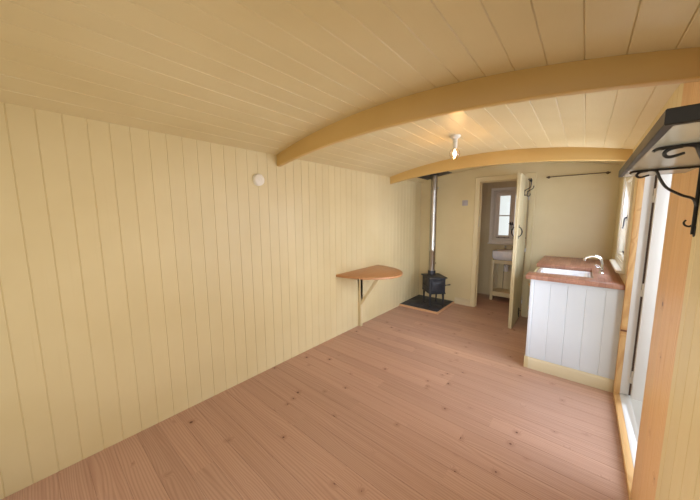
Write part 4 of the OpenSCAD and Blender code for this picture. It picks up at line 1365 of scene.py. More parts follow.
@dataclass
class PlankDoor:
    """Framed, ledged and braced leaf of V-jointed planks, with its knuckles, pulls and screws.

    In its own frame the hinge edge is at x = 0 and the leaf runs along -X. Its plank face is at y = 0 and its
    framed face at y = thick.
    """

    name: str
    body: str
    node: str
    place: Matrix
    width: float
    height: float
    hinges: tuple[float, ...]
    pull_z: float
    pulls: tuple[Side, ...]
    finish: Finish
    slot: str
    iron_nodes: tuple[str, ...] = ()
    hooks: tuple[tuple[float, float], ...] = ()
    bolt_z: float = 0.0
    planks: int = 5
    thick: float = 0.040
    plank: float = 0.020
    rail: float = 0.110
    stile: float = 0.090
    mid: float = 0.46
    pin: tuple[float, float] = (0.0025, -0.007)
    knuckle: float = 0.006
    bore: float = 0.00305
    knuckle_long: float = 0.050
    flap: tuple[float, float] = (0.002, 0.032)
    pull_in: float = 0.065
    hook_z: float = 1.695

    def boards(self) -> None:
        """Planks with a V at each joint on both faces."""
        w, t, c = self.width / self.planks, self.plank, 0.0042
        form = Form("plank")
        form.prism([(0, c), (c * 0.3, c * 0.3), (c, 0), (w - c, 0), (w - c * 0.3, c * 0.3), (w, c), (w, t - c),
                    (w - c, t), (c, t), (0, t - c)], 0, self.height)
        mesh = repeated(form.mesh(), self.planks, (w, 0, 0), offset=(-self.width, 0, 0), seed=41)
        finished(self.name + "_planks", placed(mesh, self.place), self.finish, self.slot, self.node, body=self.body)

    def framing(self) -> None:
        """Stiles, rails and braces on the planks' inner face."""
        w, h, t0, t1, s, r = self.width, self.height, self.plank, self.thick, self.stile, self.rail
        form = Form(self.name + "_framing")
        for x in (-w, -s):
            form.box((x, t0, 0), (x + s, t1, h), 0.003, 2)
        middle = h * self.mid
        for z in (0, middle, h - r):
            form.box((s - w, t0, z), (-s, t1 - 0.0004, z + r), 0.003, 2)
        for z0, z1 in ((r, middle), (middle + r, h - r)):
            form.prism([(-s, z0), (-s, z0 + s), (s - w, z1), (s - w, z1 - s)], t0, t1 - 0.002, Axis.Y, 0.003, 2)
        form.done(self.finish, self.slot, self.node, body=self.body, place=self.place)

    def pull(self, form: Form, screws: Fixings, side: Side) -> None:
        """Bowed pull with a leaf-shaped foot at each end, on one face.

        Args:
            form: mesh that it joins.
            screws: where its fixings are noted.
            side: the face.
        """
        x, way = self.pull_in - self.width, side.value
        face = 0.0 if side is Side.PLANKS else self.thick
        reach, inset, half, base = 0.075, 0.038, math.radians(60), face + way * 0.003
        turns = [half * (i / 10 - 1) for i in range(21)]
        form.tube([(x, face + way * (reach * math.cos(a) - inset), self.pull_z + reach * math.sin(a)) for a in turns],
                  [0.0046 + 0.0022 * math.cos(a * 1.3) ** 2 for a in turns], 12, 1.25)
        for end in (-1, 1):
            z = self.pull_z + end * 0.069
            foot = [(x + 0.0125 * math.cos(a) * (0.75 + 0.25 * math.cos(2 * a)), z + 0.021 * math.sin(a))
                    for a in (math.tau * i / 24 for i in range(24))]
            form.prism(foot, min(face, base), max(face, base), Axis.Y, 0.0008)
            screws.mark((x, base, z + end * 0.011), (0, way, 0), self.place)

    def hinge(self, form: Form, screws: Fixings, z: float) -> None:
        """Leaf half of a hinge: a bored knuckle and a flap on the leaf's edge.

        Args:
            form: mesh that it joins.
            screws: where its fixings are noted.
            z: the knuckle's foot.
        """
        (x, y), long, r, eased, bore = self.pin, self.knuckle_long, self.knuckle, 0.0005, self.bore
        form.lathe([(bore, 0), (r - eased, 0), (r, eased), (r, long - eased), (r - eased, long), (bore, long)],
                   (x, y, z), steps=32, looped=True)
        form.box((0, y + r * 0.8, z), (*self.flap, z + long), 0.0004)
        for up in (0.25, 0.75):
            screws.mark((self.flap[0] - 0.0008, 0.020, z + long * up), (1, 0, 0), self.place)

    def coat_hook(self, form: Form, screws: Fixings, x: float, finial: float) -> None:
        """Coat hook of bent bar on the plank face, the first with a leaf-shaped hat prong.

        Args:
            form: mesh that it joins.
            screws: screws that it joins.
            x: its place across the leaf.
            finial: length of the hat prong, or 0 for none.
        """
        z = self.hook_z

        def bar(*spots: float, steps: int) -> list[Vector]:
            """Smooth path through places out from the leaf and up it, in millimetres."""
            return bend([(x, y, z + up) for y, up in mm(*spots)], steps)

        form.prism(rounded((x - 0.011, z - 0.008), (x + 0.011, z + 0.074), 0.010), -0.004, 0, Axis.Y, 0.001)
        path = bar(-3, 52, -12, 68, -40, 86, -64, 104, -68, 128 + finial * 400, steps=6)
        form.tube(path, [0.0062 - 0.0016 * i / len(path) for i in range(len(path))], 12)
        if finial:
            top = path[-1]
            for y, up in ((0.004, finial * 0.55), (0.040, finial * 0.40)):
                form.tube(bend([top, top + Vector((0, y * 0.25, up * 0.45)), top + Vector((0, y, up))], 5),
                          [size * MM for size in (4.6, 6.2, 8, 9, 9.6, 9, 7.8, 6, 4.4, 2.4, 0.8)], 12)
        else:
            form.ball(path[-1], 0.0078)
        form.tube(bar(-3, 10, -16, 0, -30, 8, -34, 26, steps=5), 0.0048, 12)
        form.ball((x, -0.034, z + 0.028), 0.0066)
        for up in (0.0, 0.034):
            screws.mark((x, -0.004, z + up), (0, -1, 0), self.place)

    def foot_bolt(self, form: Form, screws: Fixings) -> None:
        """Small barrel bolt low on the plank face.

        Args:
            form: mesh that it joins.
            screws: where its fixings are noted.
        """
        x, z = -self.width * 0.30, self.bolt_z
        form.box((x - 0.016, -0.003, z - 0.05), (x + 0.016, 0, z + 0.05), 0.0008)
        for up in (-0.034, 0.030):
            form.box((x - 0.009, -0.013, z + up - 0.007), (x + 0.009, -0.002, z + up + 0.007), 0.003, 3)
        form.tube([(x, -0.008, z - 0.080), (x, -0.008, z + 0.046)], 0.0052, 14)
        form.tube([(x, -0.008, z + 0.010), (x, -0.022, z + 0.010)], 0.0034, 10)
        form.ball((x, -0.026, z + 0.010), 0.0062)
        for up in (-0.0405, 0.0405):
            screws.mark((x + 0.010, -0.003, z + up), (0, -1, 0), self.place)

    def build(self) -> None:
        """Builds the leaf and its ironwork."""
        self.boards()
        self.framing()
        form, screws = Form(self.name + "_hinges"), Fixings()
        for z in self.hinges:
            self.hinge(form, screws, z)
        form.done(self.finish, self.slot, body=self.body, place=self.place, smooth_deg=40)
        screws.build(self.name + "_hinge_screws", ZINC, self.slot, body=self.body)
        form, screws = Form(self.name + "_iron"), Fixings()
        for side in self.pulls:
            self.pull(form, screws, side)
        for x, finial in self.hooks:
            self.coat_hook(form, screws, x, finial)
        if self.bolt_z:
            self.foot_bolt(form, screws)
        form.done(BLACK_IRON, "black_iron", *self.iron_nodes, body=self.body, place=self.place, smooth_deg=40)
        screws.build(self.name + "_screws", SCREW_IRON, "black_iron", body=self.body)


@dataclass
class Entrance:
    """White frame and sill of the entrance, its pine lining and the pine panel on its near side."""

    near: float = -0.721
    far: float = 0.382
    head: float = 2.020
    sill: float = 0.190
    frame_x: float = 1.281
    stop: float = 0.012
    jamb: float = 0.025
    lining: float = 0.037
    panel_near: float = -1.138
    cover: float = 0.045
    cover_thick: float = 0.014
    seal: float = 0.0035
    rebate: float = 0.0165

    def band(self, name: str, finish: Finish, inner: float, outer: float, **arris: float) -> None:
        """Band on the outer face round the opening's sides and head, between two distances from its rebate.

        Args:
            name: start of its pieces' names.
            finish: its finish.
            inner: the nearer distance.
            outer: the further distance.
            **arris: what its boxes take of easing.
        """
        y0, y1, z1 = self.near - self.rebate, self.far + self.rebate, self.head + self.rebate
        x0, x1 = ROOM.outer, ROOM.outer + self.cover_thick
        form = Form(name)
        form.box((x0, y0 - outer, self.sill), (x1, y0 - inner, z1 + outer), **arris)
        form.box((x0, y1 + inner, self.sill), (x1, y1 + outer, z1 + outer), **arris)
        form.box((x0, y0 - outer, z1 + inner), (x1, y1 + outer, z1 + outer), **arris)
        form.done(finish, "white_paint")

    def build(self) -> None:
        """Builds the frame, the lining and the panel."""
        y0, y1, z1 = self.near - self.stop, self.far + self.stop, self.head + self.stop
        x0, x1, jamb, sill = self.frame_x, ROOM.outer, self.jamb, self.sill
        form = Form("entrance_frame")
        form.box((x0, y0 - jamb, sill), (x1, y0, z1 + jamb), 0.002)
        form.box((x0, y1, sill), (x1, y1 + jamb, z1 + jamb), 0.002)
        form.box((x0, y0, z1), (x1, y1, z1 + jamb), 0.002)
        form.prism([(x0, ROOM.floor), (x1 + 0.012, ROOM.floor), (x1 + 0.012, sill - 0.012), (x1, sill - 0.006),
                    (x0, sill)], y0 - jamb, y1 + jamb, Axis.Y, 0.002, 2)
        form.done(WHITE_PAINT, "white_paint", "entrance_frame")
        self.band("entrance_cover", WHITE_PAINT, self.seal, self.cover, arris=0.002, steps=2)
        self.band("entrance_seal", RUBBER, 0.0, self.seal, arris=0.001)
        low, high, head = self.near - self.lining, self.far + self.lining, self.head + self.lining
        form = Form("entrance_lining")
        form.box((ROOM.half, low, ROOM.floor), (x0, self.near, head), 0.003, 2)
        form.box((ROOM.half, self.far, ROOM.floor), (x0, high, head), 0.003, 2)
        form.done(OILED_PINE, "oiled_pine", "entrance_lining")
        form = Form("entrance_lining_head")
        form.box((ROOM.half, self.near, self.head), (x0, self.far, head), 0.003, 2)
        form.box((ROOM.half, self.near, ROOM.floor), (x0, self.far, sill), 0.003, 2)
        form.done(OILED_PINE_RAIL, "oiled_pine", "entrance_lining")
        for name, span, foot, seed in (("entrance_panel", (self.panel_near, low), ROOM.floor, 51),
                                       ("entrance_over", (low, self.near), head, 52)):
            Boarding(name, OILED_PINE, "oiled_pine", "entrance_lining", Axis.Y, ROOM.half, -1, span, foot,
                     width=0.127, joint=0.0008, seed=seed).build()


@dataclass
class CasementWindow:
    """Window of one or two casements with glazing bars, casings on both faces and a board under it.

    In its own frame the opening's width runs along X and the wall's depth along Y, with the room face at y = 0.
    """

    name: str
    place: Matrix
    width: float
    height: float
    fastener_x: tuple[float, ...]
    lights: int = 1
    fastener_z: float = 0.38
    bar: float = 0.5
    depth: float = 0.086
    frame: float = 0.040
    stile: float = 0.045
    meeting: float = 0.030
    casing: float = 0.045
    proud: float = 0.014
    over: float = 0.010

    def casings(self) -> None:
        """Frame, moulded casings and the boards under them."""
        w, h, f, c, d, proud, over = (self.width, self.height, self.frame, self.casing, self.depth, self.proud,
                                      self.over)
        form = Form(self.name + "_frame")
        form.frame((0, 0), (w, h), (f, f), (w - f, h - f), (0.0, d), Axis.Y, 0.003)
        if self.lights == 2:
            form.box((w / 2 - 0.010, 0.060, f), (w / 2 + 0.010, d - 0.004, h - f), 0.002)
        form.moulding(mm(0, 0, 0, 7, 3, 9.5, 8, 10.5) + [
            (c - 0.014, 0.0105), (c - 0.010, 0.0125), (c - 0.008, proud), (c - 0.002, proud), (c, 0.012), (c, 0)],
            upright_path(0, w, 0, h, 0), (0, -1, 0), closed=True)
        form.moulding([(0, 0), (0, proud - 0.003), (0.003, proud), (c - 0.003, proud), (c, proud - 0.003), (c, 0)],
                      upright_path(0, w, 0, h, d, outside=True), (0, 1, 0), closed=True)
        form.done(WINDOW_PAINT, "window_paint", self.name, place=self.place, smooth_deg=45)
        form = Form(self.name + "_board")
        front, out = -proud - 0.040, d + proud + 0.010
        nose = [(front + 0.010 - 0.010 * math.cos(a), -c - 0.010 + 0.010 * math.sin(a))
                for a in (math.pi / 2 - math.pi * i / 8 for i in range(9))]
        form.prism([(0.0, -c - 0.020), (0.0, -c)] + nose, -c - over, w + c + over, Axis.X)
        form.prism([(d, -c), (out, -c - 0.006), (out, -c - 0.020), (d, -c - 0.020)], -c - over, w + c + over,
                   Axis.X, 0.0015)
        form.done(WINDOW_PAINT, "window_paint", self.name, place=self.place, smooth_deg=45)

    def sash(self, form: Form, x0: float, x1: float, left: float, right: float) -> None:
        """One casement between two places, with its bar and beads.

        Args:
            form: mesh that it joins.
            x0: the left place.
            x1: the right place.
            left: width of its left stile.
            right: width of its right stile.
        """
        h, f, s, y0, gap = self.height, self.frame, self.stile, self.depth - 0.052, 0.0015
        (a0, b0), (a1, b1) = hole = (x0 + left, f + s), (x1 - right, h - f - s)
        form.frame((x0 + gap, f + gap), (x1 - gap, h - f - gap), *hole, (y0, self.depth - 0.012), Axis.Y, 0.003)
        bead = mm(-1, 4, 8, 12, 8, 16, -1, 16)
        for side, a, b in ((1, a0, b0), (-1, a1, b1)):
            form.prism([(a + side * u, y0 + v) for u, v in bead], b0, b1, Axis.Z)
            form.prism([(y0 + v, b + side * u) for u, v in bead], a0, a1, Axis.X)
        z = f + s + (h - 2 * (f + s)) * self.bar
        form.prism([(y0 + v, z + u) for v, u in mm(4, -5, 4, 5, 14, 10, 24, 10, 34, 5, 34, -5, 24, -10, 14, -10)],
                   a0, a1, Axis.X)

    def fastener(self, form: Form, screws: Fixings, x: float) -> None:
        """Black casement fastener: a plate, a pivoted lever that hangs down and its hook.

        Args:
            form: mesh that it joins.
            screws: where its fixings are noted.
            x: its place along the window.
        """
        y, z = self.depth - 0.052, self.fastener_z
        form.prism(rounded((x - 0.009, z - 0.028), (x + 0.009, z + 0.028), 0.008), y - 0.003, y, Axis.Y, 0.0008)
        form.lathe(mm(0.1, 0, 8.5, 0, 8.5, -10, 6, -13, 0.1, -13), (x, y - 0.002, z), Axis.Y, 20)
        path = bend([(x, y - 0.012, z), (x + 0.016, y - 0.018, z - 0.004), (x + 0.019, y - 0.022, z - 0.030),
                     (x + 0.017, y - 0.022, z - 0.070), (x + 0.021, y - 0.027, z - 0.098)], 6)
        form.tube(path, [0.0052 - 0.0018 * i / len(path) for i in range(len(path))], 10, 1.3)
        form.ball(path[-1], 0.0062)
        form.tube([(x, y - 0.010, z), (x - 0.026, y - 0.010, z + 0.001)], 0.0042, 10)
        for up in (-0.020, 0.020):
            screws.mark((x, y - 0.003, z + up), (0, -1, 0), self.place)

    def stay(self, form: Form, screws: Fixings, x0: float, x1: float) -> None:
        """Peg stay along the casement's bottom rail, on two pegs of the frame.

        Args:
            form: mesh that it joins.
            screws: where its fixings are noted.
            x0: the casement's left edge.
            x1: its right edge.
        """
        y, z, foot = self.depth - 0.060, self.frame + 0.012, self.frame + 0.0005
        form.tube(bend([(x0 + 0.02, y, z + 0.006), (x0 + 0.035, y, z), (x1 - 0.03, y, z),
                        (x1 - 0.012, y - 0.008, z + 0.010)], 5), 0.0038, 10, 1.6)
        form.ball((x1 - 0.012, y - 0.008, z + 0.012), 0.006)
        for a in (0.25, 0.62):
            x = x0 + (x1 - x0) * a
            form.tube([(x, y, foot), (x, y, z + 0.012)], 0.0030, 10)
            screws.mark((x + 0.016, y, foot), (0, 0, 1), self.place)

    def build(self) -> None:
        """Builds the window and its ironwork."""
        self.casings()
        w, f, s, m = self.width, self.frame, self.stile, self.meeting
        form, iron, screws = Form(self.name + "_sash"), Form(self.name + "_iron"), Fixings()
        shares = (((f, w - f, s, s, 0.05),) if self.lights == 1
                  else ((f, w / 2, s, m, 0.01), (w / 2, w - f, m, s, 0.01)))
        for x0, x1, left, right, clear in shares:
            self.sash(form, x0, x1, left, right)
            self.stay(iron, screws, x0 + clear, x1 - clear)
        form.done(WINDOW_PAINT, "window_paint", self.name, place=self.place)
        for x in self.fastener_x:
            self.fastener(iron, screws, x)
        iron.done(BLACK_IRON, "black_iron", place=self.place, smooth_deg=40)
        screws.build(self.name + "_screws", SCREW_IRON, "black_iron", radius=0.0026)


@dataclass
class Joinery:
    """Doorway, leaves, entrance and windows."""

    leaf_x: float = 1.3405
    leaf_foot: float = 0.195

    def build(self) -> None:
        """Builds all of it."""
        Trim().build()
        PlankDoor("washroom", "washroom_door", "door_leaf", set_place((0.3505, 1.9605, 0.170), 90.0), 0.627, 1.942,
                  (0.230, 0.980, 1.700), 1.235, (Side.PLANKS, Side.FRAME), DOOR_PAINT, "door_paint",
                  ("door_ironwork",), hooks=((-0.323, 0.090), (-0.103, 0.0)), bolt_z=0.115).build()
        for end, y, mirror in (("far", 0.3845, False), ("near", -0.7235, True)):
            PlankDoor("entrance_" + end, "entrance_door_" + end, "entrance_leaf_" + end,
                      set_place((self.leaf_x, y, self.leaf_foot), 180.0, mirror), 0.5535, 1.832,
                      (0.150, 0.850, 1.550), 1.000, (Side.PLANKS,), WHITE_PAINT, "white_paint").build()
        dress("hinge_pins", WHITE_PAINT)
        Entrance().build()
        CasementWindow("kitchen_window", set_place((1.245, 1.255, 1.200), -90.0), 0.660, 0.760, (0.062,)).build()
        CasementWindow("end_window", set_place((-0.290, 2.864, 1.170)), 0.580, 0.875, (0.275, 0.305), lights=2,
                       fastener_z=0.30).build()
        dress("window_glass", FLOAT_GLASS)


# Blacked cast iron is dull and faintly grainy from the sand it was cast in.
STOVE_IRON = Coated("matt_stove_blacking_on_cast_iron", "#26282d", "#212328", 0.52, 1.8, 0.14, 12.0)
# Brushed stainless tube, a little yellowed by heat, and chrome that is nearly a mirror.
FLUE_STEEL = Metal("brushed_stainless_flue", "#aba598", roughness=0.32, line_mm=1.4)
CHROME = Metal("chromed_brass", "#dcdee0", roughness=0.09, line_mm=4.0)
# Riven slate breaks in low steps, drawn 7 mm apart so that they show.
SLATE = Coated("riven_slate", "#3b3e44", "#2f3137", 0.55, 7.0, 0.9, 9.0)
GROUT = Coated("cement_grout", "#6d6a64", "#5d5a55", 0.8, 2.0, 0.2, 14.0)
OAK_EDGE = Timber("oiled_softwood_edging", "#d0a67c", dark="#b0835a", along=Axis.Y, ring_mm=8.0, knots=0.0,
                  spread=0.03, ring_show=0.35)
TABLE_WOOD = Timber("oiled_hardwood_table", "#ba8656", dark="#9c6a3f", along=Axis.Y, ring_mm=15.0, knots=0.0,
                    gloss=0.36, spread=0.0, ring_show=0.35)
WORKTOP = Staves("oiled_hardwood_staves", "#ba8b72", dark="#94654f")
FIRECLAY = Glazed("white_glazed_fireclay", "#f2f2ef")
CHINA = Glazed("white_vitreous_china", "#f0efec")
# Moulded plastic takes its sheen from the mould and has hardly any grit.
# The switch plate is white plastic; its grey is painted shade, as the plate stands in shadow.
WHITE_PLASTIC_PAINTED_SHADE = Coated("white_plastic_painted_shade", "#aca5a6", "#a49d9e", 0.35, 3.0, 0.02, 3.0)
PLASTIC = Coated("moulded_white_plastic", "#e9e4d6", "#e4dfd0", 0.35, 3.0, 0.02, 3.0)
TRAP_PLASTIC = Coated("moulded_waste_plastic", "#e6e6e2", "#dededa", 0.38, 3.0, 0.02, 3.0)
BRONZED = Coated("bronzed_steel_rod", "#57432a", "#4a3822", 0.36, 2.0, 0.02, 6.0)
SHELF_EDGE = Coated("black_stained_board_edge", "#1c1b1a", "#151413", 0.40, 2.0, 0.06, 6.0)
BULB_GLASS = Glass("clear_lamp_glass", "#fff6ea")
BULB_CORE = Lit("lit_lamp_core", "#fff0d6")


@dataclass
class Stove:
    """Cast-iron box stove turned across the corner on a slate hearth, with its flue up through the roof."""

    flue: tuple[float, float] = (-0.883, 1.672)
    turn_deg: float = 45.0
    width: float = 0.268
    front: float = -0.258
    back: float = 0.072
    foot: float = 0.190
    body: float = 0.405
    top: float = 0.660
    plate: float = 0.012
    lip: float = 0.020
    flue_r: float = 0.050
    collar: float = 0.070
    joints: tuple[float, ...] = (1.02, 1.98)
    # Half-width of the ceiling plate, made broad so that its dark iron stands for painted shade beyond the far bow.
    ceiling_plate: float = 0.205
    cap: float = 2.768
    hearth: tuple[float, float, float, float] = (-1.245, -0.595, 1.270, 1.970)
    edging: float = 0.020

    def body_pieces(self, form: Form) -> None:
        """Body, top plate, cooking lid, legs, ash lip, side panels and collar."""
        w, f, b, low, high = self.width / 2, self.front, self.back, self.body, self.top - self.plate
        form.tiers((-w, f), (w, b), [(z, out, 0.020) for z, out in (
            (low, -0.004), (low + 0.004, 0.0), (low + 0.016, 0.0), (low + 0.020, -0.003), (high - 0.020, -0.003),
            (high - 0.016, 0.0), (high, 0.0))])
        form.tiers((-w, f), (w, b), [(z, self.lip - less, 0.016 + (self.lip - less) * 0.3) for z, less in (
            (high, 0.003), (high + 0.002, 0.0), (self.top - 0.004, 0.0), (self.top - 0.001, 0.0015),
            (self.top, 0.005))])
        form.lathe(mm(0.1, 5.5, 6, 5.5, 7, 4, 50, 4, 55, 5.5, 62, 5, 64, 0.2, 0.1, 0.2), (0, f + 0.085, self.top))
        thick = [0.021 - 0.010 * min(1, i / 12) + 0.007 * max(0, i - 15) / 5 for i in range(21)]
        for x in (-w + 0.035, w - 0.035):
            for y in (f + 0.035, b - 0.035):
                out = Vector((math.copysign(1, x), math.copysign(1, y - (f + b) / 2), 0)).normalized()
                path = [Vector((x, y, z)) + out * away for z, away in (
                    (low + 0.004, 0.0), (low - 0.030, 0.006), (low - 0.080, 0.009), (self.foot + 0.040, 0.004),
                    (self.foot + 0.012, 0.008), (self.foot, 0.009))]
                form.tube(bend(path, 4), thick, 16)
        form.prism(rounded((-w + 0.012, f - 0.040), (w - 0.012, f + 0.002), 0.012), low + 0.006, low + 0.018,
                   Axis.Z, 0.003, 2)
        for x in ((-w - 0.002, -w + 0.003), (w - 0.003, w + 0.002)):
            for lug in (0.065, 0.160):
                form.prism(rounded((f + 0.050, low + lug - 0.030), (b - 0.050, low + lug + 0.045), 0.010), *x,
                           Axis.X, 0.002, 2)
        r, c = self.flue_r, self.collar
        form.lathe([(r - 0.010, 0), (r + 0.024, 0), (r + 0.024, 0.004), (r + 0.014, 0.009), (r + 0.009, 0.016),
                    (r + 0.009, c - 0.008), (r + 0.007, c - 0.002), (r + 0.001, c), (r - 0.010, c)],
                   (0, 0, self.top), steps=64, looped=True)

    def door(self, form: Form) -> None:
        """Door frame with the door in it, two hinge knuckles, a latch knob and an air slide."""
        w, f, z0, z1 = self.width / 2, self.front, self.body + 0.030, self.top - self.plate - 0.022
        form.frame((-w + 0.025, z0), (w - 0.025, z1), (-w + 0.040, z0 + 0.016), (w - 0.040, z1 - 0.014),
                   (f - 0.007, f + 0.001), Axis.Y, 0.002)
        form.prism(rounded((-w + 0.042, z0 + 0.018), (w - 0.042, z1 - 0.016), 0.012), f - 0.012, f + 0.001, Axis.Y,
                   0.003, 2)
        half, spring = 0.056, z1 - 0.052
        arch = [(half * math.cos(math.pi * i / 12), spring + 0.020 * math.sin(math.pi * i / 12)) for i in range(13)]
        form.prism([(-half, z0 + 0.060), (half, z0 + 0.060), *arch], f - 0.0145, f - 0.010, Axis.Y, 0.0015, 2)
        for z in (z0 + 0.050, z1 - 0.045):
            form.lathe(mm(0.1, -15, 5.5, -15, 6, -13, 6, 13, 5.5, 15, 0.1, 15), (-w + 0.034, f - 0.010, z), steps=20)
        for profile, x, y, z, steps in (
                (mm(0.1, -34, 7, -33, 11, -27, 10, -20, 5, -15, 5, 0), w - 0.058, f - 0.010, (z0 + z1) / 2, 24),
                (mm(0.1, -16, 26, -16, 28, -14, 28, -11, 0.1, -11), 0, f, z0 + 0.036, 32),
                (mm(0.1, -27, 6, -27, 8, -23, 4, -15, 0.1, -15), 0, f, z0 + 0.036, 20)):
            form.lathe(profile, (x, y, z), Axis.Y, steps)

    def fire(self) -> None:
        """Builds the stove and its side lever."""
        form = Form("stove_body")
        self.body_pieces(form)
        self.door(form)
        root = Vector((self.width / 2 - 0.004, self.front + 0.026, ROOM.floor + 0.372))
        way = Vector((math.sin(math.radians(84)), 0, math.cos(math.radians(84))))
        form.tube([root, root + way * 0.040], 0.0055, 14)
        form.lathe(mm(0.1, 0, 11, 0, 12, 2, 10, 5, 0.1, 5), root + Vector((0.004, 0, 0)), Axis.X, 20)
        form.tube([root + way * (0.038 + 0.050 * i / 10) for i in range(11)],
                  [size * MM for size in (6.2, 7.4, 8, 8.4, 8.6, 8.8, 8.8, 8.6, 8, 7, 4)], 16)
        form.done(STOVE_IRON, "stove_iron", "stove", place=set_place((*self.flue, 0.0), self.turn_deg), smooth_deg=36)

    def pipe(self) -> None:
        """Flue with its slip joints, bands and cowl, and its flashing."""
        (x, y), r, foot = self.flue, self.flue_r, self.top + self.collar
        form = Form("flue_tube")
        outer = [(r - 0.003, foot - 0.030), (r, foot - 0.030)]
        for z in self.joints:
            outer += [(r + out, z + up) for out, up in mm(0, -4, 2.2, 0, 2.2, 30, 4.5, 34, 4.5, 40, 0.8, 44, 0, 50)]
        form.lathe(outer + [(r, self.cap), (r - 0.003, self.cap)], (x, y, 0), steps=64, looped=True)
        for z in self.joints:
            form.box((x + r * 0.62, y - r * 0.90, z + 0.008), (x + r * 0.86, y - r * 0.70, z + 0.020), 0.002, 2)
        form.done(FLUE_STEEL, "flue_steel", "flue_pipe", smooth_deg=40)
        form, roof = Form("flue_cowl"), ROOM.vault.at(x, 0.078)
        form.lathe(mm(0.1, -10, 30, -10, 30, 40, 88, 40, 90, 43, 14, 85, 0.1, 85), (x, y, self.cap), steps=56)
        form.lathe([(r + out, roof + up) for out, up in mm(1, 60, 6, 60, 12, 30, 40, -4, 50, -16, 1, -16)],
                   (x, y, 0), steps=56, looped=True)
        form.done(FLUE_STEEL, "flue_steel", "flue_pipe", smooth_deg=40)

    def plate_above(self) -> None:
        """Plate on the ceiling round the flue, with its collar and screws; the plate is made broad and dark as
        painted shade on the ceiling beyond the far bow.
        """
        (x, y), r, half, cols, thick = self.flue, self.flue_r, self.ceiling_plate, 16, 0.0025
        form, rings = Form("ceiling_plate"), []
        for i in range(cols + 1):
            px = x - half + 2 * half * i / cols
            top = ROOM.vault.at(px) - 0.0003
            rings.append(ring_on(Axis.X, [(y - half, top), (y - half, top - thick), (y + half, top - thick),
                                          (y + half, top)], px))
        form.loft(rings)
        low = ROOM.vault.at(x)
        form.lathe([(r + out, low + up) for out, up in mm(2, -18, 16, -16, 24, -8, 24, 4, 2, 4)], (x, y, 0),
                   steps=48, looped=True)
        # The plate's dark iron is partly a real flue plate and partly painted shade on the ceiling.
        form.done(STOVE_IRON, "stove_iron", smooth_deg=36)
        screws, edge = Fixings(), half - 0.014
        for px in (x - edge, x + edge):
            for sy in (-1, 0, 1):
                screws.mark((px, y + sy * edge, ROOM.vault.at(px) - 0.0027), (0, 0, -1))
        screws.build("ceiling_plate_screws", ZINC, "flue_steel", radius=0.0042)

    def wall_fittings(self) -> None:
        """Flue clip high on the partition and a small knob lower down."""
        form = Form("flue_clip")
        form.lathe(mm(0.1, 0, 14, 0, 14, -3, 6, -6, 5, -20, 0.1, -20), (-0.944, ROOM.partition, 2.075), Axis.Y, 24)
        form.done(ZINC, "flue_steel")
        form = Form("wall_knob")
        form.lathe(mm(0.1, 0, 10, 0, 10, -2, 5, -5, 5, -16, 9, -22, 10, -27, 6, -32, 0.1, -33),
                   (-0.948, ROOM.partition, 0.803), Axis.Y, 24)
        form.done(BLACK_IRON, "black_iron")

    def slab(self) -> None:
        """Slate tiles on their bed, with a timber edging on the two room sides."""
        x0, x1, y0, y1 = self.hearth
        e, low, high, joint = self.edging, ROOM.floor, self.foot, 0.004
        form = Form("hearth_bed")
        form.box((x0, y0 + e, low), (x1 - e, y1, high - 0.006), 0.0)
        form.done(GROUT, "slate", "hearth")
        form = Form("hearth_tiles")
        wx, wy = (x1 - e - x0) / 2, (y1 - y0 - e) / 2
        for i in range(2):
            for j in range(2):
                x, y = x0 + i * wx + joint / 2, y0 + e + j * wy + joint / 2
                form.box((x, y, high - 0.016), (x + wx - joint, y + wy - joint, high), 0.0018, 2)
        form.done(SLATE, "slate", "hearth")
        form = Form("hearth_edging")
        tall = high - low
        form.moulding([(0, 0), (0, tall - 0.001), (0.001, tall), (e - 0.004, tall), (e, tall - 0.005), (e, 0)],
                      [(x1 - e, y1, low), (x1 - e, y0 + e, low), (x0, y0 + e, low)], (0, 0, 1))
        form.done(OAK_EDGE, "pine_floor", "hearth")

    def build(self) -> None:
        """Builds the stove, its flue and its hearth."""
        for step in (self.fire, self.pipe, self.plate_above, self.wall_fittings, self.slab):
            step()


